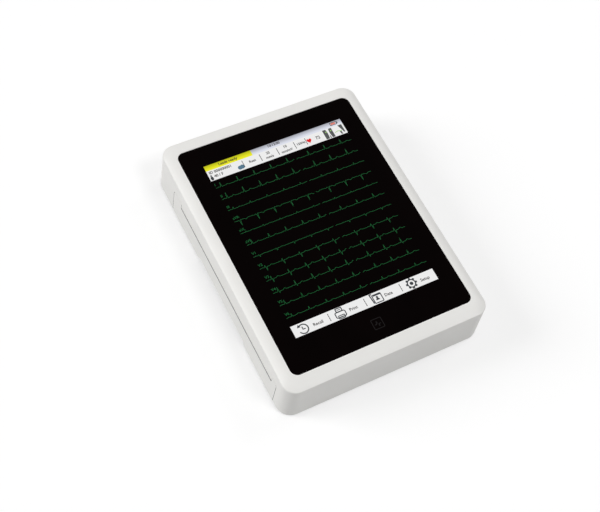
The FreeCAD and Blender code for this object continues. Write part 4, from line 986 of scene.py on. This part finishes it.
# %% [markdown]
# ## Twelve heart traces: the ribbons
# On a display a trace is a line some pixels wide, with a gap where the sweep is. Wires would be too round
# for that, so the points in the gap are deleted and a flat bar is drawn along the rest, held level so that
# it never turns on edge.

# %% Trace ribbons
def level_path(tree, line):
    """A path along a mesh line, whose section stays level."""
    path = made(tree, "GeometryNodeMeshToCurve", Mesh=line)
    return made(tree, "GeometryNodeSetCurveNormal", {"mode": "Z_UP"}, Curve=path)


def bar_along(tree, path, width, height):
    """A flat bar drawn along a path, closed at both ends."""
    section = made(tree, "GeometryNodeCurvePrimitiveQuadrilateral", Width=width, Height=height)
    return made(tree, "GeometryNodeCurveToMesh", Curve=path, Profile_Curve=section, Fill_Caps=True)


in_gap = calc(tree, "MULTIPLY", late, calc(tree, "LESS_THAN", along, given["Gap end"]))
swept = made(tree, "GeometryNodeDeleteGeometry", Geometry=waved, Selection=in_gap)
drawn = bar_along(tree, level_path(tree, swept), given["Line width"], given["Line height"])
end_tree(tree, drawn, given["Finish"])

# %% [markdown]
# ## Twelve heart traces: the leads
# Each lead looks at the heart from another side, so its waves have other heights, and one is upside down.
# The rows below are all that tells them apart. They follow the common shapes of a healthy heart, at the
# heights that the photograph shows. A lead's name stands over the start of its trace.

# %% Traces
# lead: (base line y, spike, dip, T wave, P wave), all in mm
LEADS = {
    "I": (82.6, 5.8, -0.6, 0.9, 0.5), "II": (67.8, 7.1, -0.8, 1.3, 0.7),
    "III": (53.6, 2.3, -0.3, 0.5, 0.3), "aVR": (39.2, -7.0, 0.6, -1.2, -0.5),
    "aVL": (24.2, 1.5, -0.3, 0.4, 0.2), "aVF": (9.8, 5.0, -0.5, 0.9, 0.5),
    "V1": (-4.8, 0.6, -2.2, 0.4, 0.2), "V2": (-19.4, 2.6, -4.4, 0.9, 0.3),
    "V3": (-34.0, 4.2, -3.8, 1.3, 0.4), "V4": (-48.8, 5.6, -1.9, 1.3, 0.5),
    "V5": (-63.4, 5.0, -0.6, 1.1, 0.5), "V6": (-78.0, 3.5, -0.4, 0.8, 0.4),
}
trace_places = [on_screen(0)(0, row[0], PLATE_T / 2) for row in LEADS.values()]
columns = ("spike", "dip", "t_wave", "p_wave")
trace_marks = {title: [row[k] * MM for row in LEADS.values()] for k, title in enumerate(columns, 1)}
trace_sizes = {
    "Length": 157.4 * MM, "Beat pitch": 19.1 * MM, "First beat": -72.6 * MM, "Beat after gap": 28.4 * MM,
    "Gap start": 11.4 * MM, "Gap end": 13.6 * MM, "Line width": 0.35 * MM, "Line height": PLATE_T,
    "Jitter": 0.5 * MM, "Points": 560, "Finish": TRACE_GREEN,
}
grown(tree, "screen_traces", trace_places, trace_sizes, "housing", trace_marks)

LABEL_SIZE = 4.2
LABEL_X = -78.6
LABEL_ABOVE = 3.9
LABEL_BOLD = 0.0
label_rows = [(lead, LABEL_SIZE, LABEL_X, row[0] + LABEL_ABOVE, "LEFT") for lead, row in LEADS.items()]
wording("screen_lead_names", label_rows, TRACE_GREEN, 0, LABEL_BOLD)

# %% [markdown]
# ## The touch key
# Under the picture the glass has one printed key, a rounded square with a pulse line, which stays dark
# until it is needed. It could be a change in the glass's own pattern, but a thin plate is a shape that can
# be found again. It is drawn almost as dark as the glass.

# %% Touch key
KEY_Y = -118.6
KEY_HALF, KEY_RADIUS = 5.6, 1.2
KEY_FRAME, KEY_PULSE = 0.5, 0.6
pulse = [(-3.4, -0.6), (-1.6, -0.6), (-0.6, 2.8), (0.8, -3.0), (1.7, -0.6), (3.4, -0.6)]
key_line = stroke(moved(pulse, 0, KEY_Y), KEY_PULSE)
key_frame = frame_box(-KEY_HALF, KEY_Y - KEY_HALF, KEY_HALF, KEY_Y + KEY_HALF, KEY_RADIUS, KEY_FRAME)
shown("screen_touch_key", [key_frame, [key_line]], KEY_GREY, 0)

# %% [markdown]
# ## Fan-fold paper in the drawer
# The drawer holds a pack of fan-fold paper: one long strip, folded back and forth, whose end runs up to
# the slot. A block would show no folds, so a tree walks along the strip instead. Two points make each
# page, and their order decides which end of the pack they lie at. A seeded shift keeps the folds from
# lining up perfectly. The leading sheet is the path that the tree is given, and gets the same section.

# %% Paper tree
FOLD_SIZES = ["Pack x", "Pack y", "Pack z", "Page", "Pitch", "Width", "Sheet", "Fold shift"]
tree, given = new_tree("fan_fold", FOLD_SIZES, ["Folds", "Seed"])
strip = made(tree, "GeometryNodeMeshLine", Count=calc(tree, "MULTIPLY", given["Folds"], 2.0))
index = made(tree, "GeometryNodeInputIndex")
page_number = calc(tree, "FLOOR", calc(tree, "DIVIDE", index, 2.0))
fold_number = calc(tree, "FLOOR", calc(tree, "DIVIDE", calc(tree, "ADD", index, 1.0), 2.0))
far_end = calc(tree, "MODULO", fold_number, 2.0)
draw = put(tree, "FunctionNodeRandomValue", {"data_type": "FLOAT"}, ID=fold_number, Seed=given["Seed"])
inwards = calc(tree, "SUBTRACT", 1.0, calc(tree, "MULTIPLY", far_end, 2.0))
shift = calc(tree, "MULTIPLY", calc(tree, "MULTIPLY", draw.outputs[1], given["Fold shift"]), inwards)
in_pack = calc(tree, "ADD", calc(tree, "MULTIPLY", far_end, given["Page"]), shift)
fold_x = calc(tree, "ADD", in_pack, given["Pack x"])
fold_z = calc(tree, "ADD", calc(tree, "MULTIPLY", page_number, given["Pitch"]), given["Pack z"])
fold_place = made(tree, "ShaderNodeCombineXYZ", X=fold_x, Y=given["Pack y"], Z=fold_z)
folded = made(tree, "GeometryNodeSetPosition", Geometry=strip, Position=fold_place)
sheets = put(tree, "GeometryNodeJoinGeometry")
for line in (folded, given["Places"]):
    path = made(tree, "GeometryNodeMeshToCurve", Mesh=line)
    tree.links.new(bar_along(tree, path, given["Width"], given["Sheet"]), sheets.inputs[0])
end_tree(tree, sheets.outputs[0], given["Finish"])

# %% [markdown]
# ## The pack's sizes
# The pack fills the room of the solid that it stands for: its folds lie at the bottom, and the leading
# sheet eases up an S to the slot at the top. A straight ramp would crease at both ends, so the S comes from
# the smooth step, which starts and ends level. The strip lies in the drawer, so it rides out with it.

# %% Paper pack
PAGE = 140.0 * MM
PACK_H = 13.0 * MM
SHEET_T = 0.13 * MM
FOLDED_SHEET = 0.17 * MM
FOLDS = 60
FOLD_SHIFT = 0.5 * MM
FOLD_SEED = 4
RAMP = (-98.0 * MM, -80.0 * MM)
RAMP_STEPS = 16
TAIL = 20.0 * MM
LEAD_BACK = 1.5 * MM
LEAD_OVER_PACK = 1.5 * SHEET_T
pack_low, pack_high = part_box("paper_pack")
slot_z = pack_high.z - SHEET_T / 2
top_z = pack_low.z + PACK_H + LEAD_OVER_PACK


def lead_height(x):
    """The leading sheet's height: level in the slot, then an easy S down onto the pack."""
    share = min(1.0, max(0.0, (x - RAMP[0]) / (RAMP[1] - RAMP[0])))
    return slot_z + (top_z - slot_z) * share * share * (3 - 2 * share)


ramp_x = [RAMP[0] + (RAMP[1] - RAMP[0]) * k / RAMP_STEPS for k in range(RAMP_STEPS + 1)]
lead_x = [pack_low.x + LEAD_BACK] + ramp_x + [pack_high.x - TAIL]
pack_y = middle("paper_pack", "y")
lead_path = [(x, pack_y, lead_height(x)) for x in lead_x]
fold_values = {
    "Pack x": pack_high.x - PAGE, "Pack y": pack_y, "Pack z": pack_low.z + FOLDED_SHEET / 2,
    "Page": PAGE, "Pitch": (PACK_H - FOLDED_SHEET) / (FOLDS - 1), "Width": pack_high.y - pack_low.y,
    "Sheet": FOLDED_SHEET, "Fold shift": FOLD_SHIFT, "Folds": FOLDS, "Seed": FOLD_SEED,
    "Finish": FINISHES["paper"],
}
chain = [len(lead_path)]
fan_fold = grown(tree, "paper_fan_fold", lead_path, fold_values, "drawer", chained=chain)
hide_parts("paper_pack")

# %% [markdown]
# ## Painted shade round the drawer front
# The drawer front sits in a gap of half a millimetre, and the paper comes out of a slot above it. On the
# real machine both read as fine dark lines of shade. White plastic lights up its own narrow gaps, so gaps
# alone stay pale. So dark strips are put in them as painted shade: one on the lip of the slot, and a thin
# one on each upright edge, in the black rubber finish. They are plates whose outline lies on the wall,
# with the first number along Y and the second along Z, and the wall's slope is part of their place.

# %% Drawer gap shade
CREASE_X, CREASE_Z = 112.6, 52.8
WALL_SLOPE = 0.0384
DOOR_ENDS = (-129.7, 108.0)
DOOR_TOP, DOOR_CORNER = 36.5, 4.0
EAR_STEPS = (-120.7, 90.3)
EAR_TOPS = (31.6, 35.6)
SLOT_LIP = 28.6
SHADE_IN, SHADE_OUT = 0.05, 0.47
SHADE_SUNK, SLOT_SHADE_SUNK = 0.01, 0.06
SHADE_LOW = 3.0
SHADE_TURN, SHADE_TURN_STEPS = 50, 8
SHADE_T = 1.4 * MM
SLOT_SHADE_T = 0.15


def on_left_wall(sunk):
    """Places an outline on the left wall, sunk below its face by some mm."""
    return lambda u, v, h: (-(CREASE_X + (CREASE_Z - v) * WALL_SLOPE - sunk) * MM + h, u * MM, v * MM)


def end_gap_shade(end, side):
    """Up one end of the drawer front and round its upper corner."""
    centre = (end - side * DOOR_CORNER, DOOR_TOP - DOOR_CORNER)
    turn = (0, SHADE_TURN) if side > 0 else (180, 180 - SHADE_TURN)
    outer = arc(*centre, DOOR_CORNER + SHADE_OUT, *turn, SHADE_TURN_STEPS)
    inner = arc(*centre, DOOR_CORNER - SHADE_IN, *turn, SHADE_TURN_STEPS)
    outer_foot = (end + side * SHADE_OUT, SHADE_LOW)
    inner_foot = (end - side * SHADE_IN, SHADE_LOW)
    return [outer_foot] + outer + inner[::-1] + [inner_foot]


# Dark plates in the gaps round the drawer front and under the slot: painted shade.
bm = bmesh.new()
for end, side in zip(DOOR_ENDS, (-1, 1)):
    plate(bm, [end_gap_shade(end, side)], on_left_wall(SHADE_SUNK), SHADE_T)
for step, side, top in zip(EAR_STEPS, (-1, 1), EAR_TOPS):
    sides = sorted((step + side * SHADE_IN, step - side * SHADE_OUT))
    plate(bm, [box(sides[0], SLOT_LIP, sides[1], top)], on_left_wall(SHADE_SUNK), SHADE_T)
slot_shade = box(EAR_STEPS[0] + SHADE_OUT, SLOT_LIP - SHADE_IN, EAR_STEPS[1] - SHADE_OUT, SLOT_LIP + SLOT_SHADE_T)
plate(bm, [slot_shade], on_left_wall(SLOT_SHADE_SUNK), SHADE_T)
finished("drawer_gap_shade", bm, FINISHES["rubber_black"], "drawer")

# %% [markdown]
# ## Contacts in the sockets
# A socket without contacts looks like a hole. The network socket has eight bent wires, each USB socket a
# black tongue with four flat strips, and the patient socket a small turned tube in every hole. Each
# contact could be modelled alone, but all are short paths with a section drawn along them, so two trees
# serve them: one with a flat section that repeats a wire sideways, and one with a round section whose
# radius follows the path.

# %% Contact trees
PIN_SIDES = 20
flat_tree, given = new_tree("flat_contacts", ["Pitch", "Width", "Height"], ["Count"])
wire_shape = bar_along(flat_tree, level_path(flat_tree, given["Places"]), given["Width"], given["Height"])
sideways = made(flat_tree, "ShaderNodeCombineXYZ", X=given["Pitch"])
comb = made(flat_tree, "GeometryNodeMeshLine", Count=given["Count"], Offset=sideways)
combed = made(flat_tree, "GeometryNodeInstanceOnPoints", Points=comb, Instance=wire_shape)
end_tree(flat_tree, combed, given["Finish"])

round_tree, given = new_tree("round_contacts", ["Radius"])
circle = made(round_tree, "GeometryNodeCurvePrimitiveCircle", Resolution=PIN_SIDES, Radius=given["Radius"])
path = made(round_tree, "GeometryNodeMeshToCurve", Mesh=given["Places"])
swell = named(round_tree, "swell")
pin_fields = {"Curve": path, "Profile_Curve": circle, "Scale": swell, "Fill_Caps": True}
end_tree(round_tree, made(round_tree, "GeometryNodeCurveToMesh", **pin_fields), given["Finish"])

# %% [markdown]
# ## Network contacts
# A network socket's wires start level at the front and rise towards the back, so that a plug presses on
# them. They could be eight curves, but one path and a pitch are enough for the tree.

# %% Network contacts
gold = FINISHES["contact_gold"]
NETWORK_WIRES = 8
NETWORK_PITCH = 1.02 * MM
# (depth, height) from the socket's front and underside, in mm
NETWORK_WIRE = [(-1.4, 2.40), (-2.6, 2.55), (-10.8, 5.9), (-12.2, 5.7)]
low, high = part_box("network_socket")
first_x = middle("network_socket", "x") - (NETWORK_WIRES - 1) / 2 * NETWORK_PITCH
wire_path = [(first_x, high.y + y * MM, low.z + z * MM) for y, z in NETWORK_WIRE]
wire_sizes = {"Pitch": NETWORK_PITCH, "Width": 0.45 * MM, "Height": 0.3 * MM, "Finish": gold}
wire_sizes["Count"] = NETWORK_WIRES
chain = [len(wire_path)]
grown(flat_tree, "network_contacts", wire_path, wire_sizes, "housing", chained=chain)

# %% [markdown]
# ## USB contacts
# A USB socket's strips lie along the underside of a black tongue. Strips alone would hang in the air, so
# each tongue is a plate with round edges, laid on the socket's front, whose thickness is its length back
# into the socket.

# %% USB contacts and tongues
USB_STRIPS = 4
USB_PITCH = 2.3 * MM
USB_SOCKET_X = (48.0 * MM, 66.0 * MM)
USB_TONGUE_LOW = 0.2 * MM
STRIP_SUNK = 0.03 * MM
STRIP_FROM, STRIP_TO = 1.6 * MM, 10.0 * MM
usb_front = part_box("usb_sockets")[1].y
usb_z = middle("usb_sockets", "z")
strip_z = usb_z + USB_TONGUE_LOW - STRIP_SUNK
strip_x = [x - (USB_STRIPS - 1) / 2 * USB_PITCH for x in USB_SOCKET_X]
strip_ends = [(x, usb_front - depth, strip_z) for x in strip_x for depth in (STRIP_FROM, STRIP_TO)]
strip_sizes = {"Pitch": USB_PITCH, "Width": 1.0 * MM, "Height": 0.06 * MM, "Finish": gold}
strip_sizes["Count"] = USB_STRIPS
grown(flat_tree, "usb_contacts", strip_ends, strip_sizes, "housing", chained=[2, 2])

TONGUE_HALF, TONGUE_RADIUS = 5.65, 0.3
TONGUE_Z = (0.17, 2.03)
TONGUE_BACK = 0.8 * MM
TONGUE_L = 9.8 * MM


def in_usb_socket(x):
    """Places an outline on the front of one tongue, with its length running into the socket."""
    return lambda u, v, h: (x + u * MM, usb_front - TONGUE_BACK - h, usb_z + v * MM)


bm = bmesh.new()
tongue = rounded(-TONGUE_HALF, TONGUE_Z[0], TONGUE_HALF, TONGUE_Z[1], TONGUE_RADIUS)
for x in USB_SOCKET_X:
    plate(bm, [tongue], in_usb_socket(x), TONGUE_L)
finished("usb_tongues", bm, FINISHES["black_plastic"], "housing")

# %% [markdown]
# ## Round contacts and the power pin
# The patient socket has two rows of holes with a turned contact in each, and the power socket has one pin.
# Cylinders would have sharp ends, while turned ones are rounded so that plugs find them. So each path
# carries a swell that starts small at the outer end and is full after the tip.

# %% Round contacts
# (place along the tip in shares of its length, share of the full radius)
PIN_TIP = ((0.0, 0.35), (0.25, 0.75), (1.0, 1.0))


def pin_paths(places, start, length, tip):
    """Paths along Y with the swell that rounds each pin's outer end."""
    steps = [(share * tip, swell) for share, swell in PIN_TIP] + [(length, 1.0)]
    points = [(x, start - back, z) for x, z in places for back, swell in steps]
    return points, [swell for place in places for back, swell in steps], [len(steps)] * len(places)


def pins(name, paths, radius, material):
    """A piece from round contacts along some paths."""
    points, swells, chains = paths
    values = {"Radius": radius, "Finish": material}
    grown(round_tree, name, points, values, "housing", {"swell": swells}, chains)


HOLE_PITCH = 2.77 * MM
# row of holes: (count, height over the socket's middle)
HOLE_ROWS = ((8, 1.42 * MM), (7, -1.42 * MM))
CONTACT_SUNK, CONTACT_L, CONTACT_TIP, CONTACT_R = 0.7 * MM, 4.0 * MM, 0.2 * MM, 0.45 * MM
patient_x = middle("patient_socket", "x")
patient_z = middle("jack_screws", "z")
patient_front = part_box("patient_socket")[1].y
holes = []
for count, rise in HOLE_ROWS:
    holes += [(patient_x + (k - (count - 1) / 2) * HOLE_PITCH, patient_z + rise) for k in range(count)]
hole_paths = pin_paths(holes, patient_front - CONTACT_SUNK, CONTACT_L, CONTACT_TIP)
pins("patient_contacts", hole_paths, CONTACT_R, gold)

DC_PLACE = (86.0 * MM, 17.2 * MM)
DC_SUNK, DC_L, DC_TIP, DC_R = 0.9 * MM, 8.5 * MM, 0.6 * MM, 1.06 * MM
dc_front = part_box("dc_socket")[1].y
dc_path = pin_paths([DC_PLACE], dc_front - DC_SUNK, DC_L, DC_TIP)
pins("power_pin", dc_path, DC_R, FINISHES["nickel"])

# %% [markdown]
# ## The sign on the power button
# The button in the right wall carries the usual power sign, a broken ring with a stroke, as a shallow
# raised print. It could be a pattern in the button's finish, but raised print has an edge that catches
# light. It is a plate like those on the screen, but its outline is laid on the wall, so the first number
# of each point runs along Y and the second along Z. It rides on the button and is pressed with it.

# %% Power sign
SIGN_SINK = 0.02 * MM
SIGN_T = 0.06 * MM
RING_Y, RING_OUTER, RING_INNER = -0.2, 2.5, 1.95
RING_FROM, RING_TO, RING_STEPS = 125, 415, 32
SIGN_STROKE = [(0, 0.3), (0, 2.7)]
SIGN_LINE = 0.55
button_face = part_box("power_button")[1].x
button_y = middle("power_button", "y")
button_z = middle("power_button", "z")


def on_button(u, v, h):
    """Places an outline point on the button's face."""
    return (button_face - SIGN_SINK + h, button_y + u * MM, button_z + v * MM)


bm = bmesh.new()
broken_ring = arc(0, RING_Y, RING_OUTER, RING_FROM, RING_TO, RING_STEPS)
broken_ring += arc(0, RING_Y, RING_INNER, RING_TO, RING_FROM, RING_STEPS)
for outline in (broken_ring, stroke(SIGN_STROKE, SIGN_LINE)):
    plate(bm, [outline], on_button, SIGN_T)
finished("power_sign", bm, FINISHES["case_white"], "button")

# %% [markdown]
# ## Studio: floor and sky
# The photograph has a white ground under soft light. More light on the floor could make it white, but the
# case would burn out with it. So the floor is a pale grey plate, and only camera, glossy and transmitted
# rays see it lifted to white, while it still shows the object's soft shadow. The sky does the same for
# them, and is a plain grey fill for everything else.

# %% Floor and sky
FLOOR_HALF = 30.0
FLOOR_GREY = 0.53
FLOOR_ROUGHNESS = 0.9
FLOOR_LIFT = 0.525
AMBIENT = 0.36
WHITE = (1, 1, 1, 1)


def seen_directly(tree):
    """1 for rays from the camera, a mirror or clear glass, 0 for light that bounces."""
    path = put(tree, "ShaderNodeLightPath")
    either = calc(tree, "MAXIMUM", path.outputs["Is Camera Ray"], path.outputs["Is Glossy Ray"])
    return calc(tree, "MAXIMUM", either, path.outputs["Is Transmission Ray"])


ground = new_finish("ground", (FLOOR_GREY, FLOOR_GREY, FLOOR_GREY), FLOOR_ROUGHNESS, specular=0.0)
field(ground, "Emission Color").default_value = WHITE
floor_lift = calc(ground.node_tree, "MULTIPLY", seen_directly(ground.node_tree), FLOOR_LIFT)
wire(ground.node_tree, field(ground, "Emission Strength"), floor_lift)

floor_mesh = bpy.data.meshes.new("floor")
floor_corners = [(x, y, 0) for x, y in box(-FLOOR_HALF, -FLOOR_HALF, FLOOR_HALF, FLOOR_HALF)]
floor_mesh.from_pydata(floor_corners, [], [(0, 1, 2, 3)])
floor_mesh.materials.append(ground)
floor = in_scene("floor", floor_mesh)

world = bpy.data.worlds.new("studio")
bpy.context.scene.world = world
world.use_nodes = True
sky = world.node_tree.nodes["Background"]
sky.inputs["Color"].default_value = WHITE
sky_lift = calc(world.node_tree, "MULTIPLY", seen_directly(world.node_tree), 1.0 - AMBIENT)
wire(world.node_tree, sky.inputs["Strength"], calc(world.node_tree, "ADD", sky_lift, AMBIENT))
print("floor and sky lifted to white for the camera")

# %% [markdown]
# ## Studio: lamps
# The light in the photograph comes from two sides: a broad lamp low on the left brightens the left wall,
# and one high in front brightens the near roll of the bezel, while the corner between them stays greyest.
# One even sky could light it all, but would leave the rolls flat, so the sky only fills in, with a weak
# lamp on the right. Lamps close by would leave a bright pool on the floor, so all three are broad suns,
# which light it evenly as far as the eye sees.

# %% Lamps
# lamp: (where it shines from, breadth in degrees, strength in watts per square metre)
LAMPS = {
    "left": ((-1.8, 1.0, 1.1), 29, 1.60),
    "front": ((0.75, -1.1, 2.1), 18, 0.82),
    "right": ((1.7, 0.4, 1.8), 23, 0.35),
}
for name, (source, breadth, strength) in LAMPS.items():
    lamp_data = bpy.data.lights.new(name, "SUN")
    lamp_data.angle = math.radians(breadth)
    lamp_data.energy = strength
    aim(in_scene(name, lamp_data), source, -Vector(source))
    print(f"{name} lamp: {strength} W/m2 from {source}")
bpy.context.scene.view_settings.view_transform = "Standard"
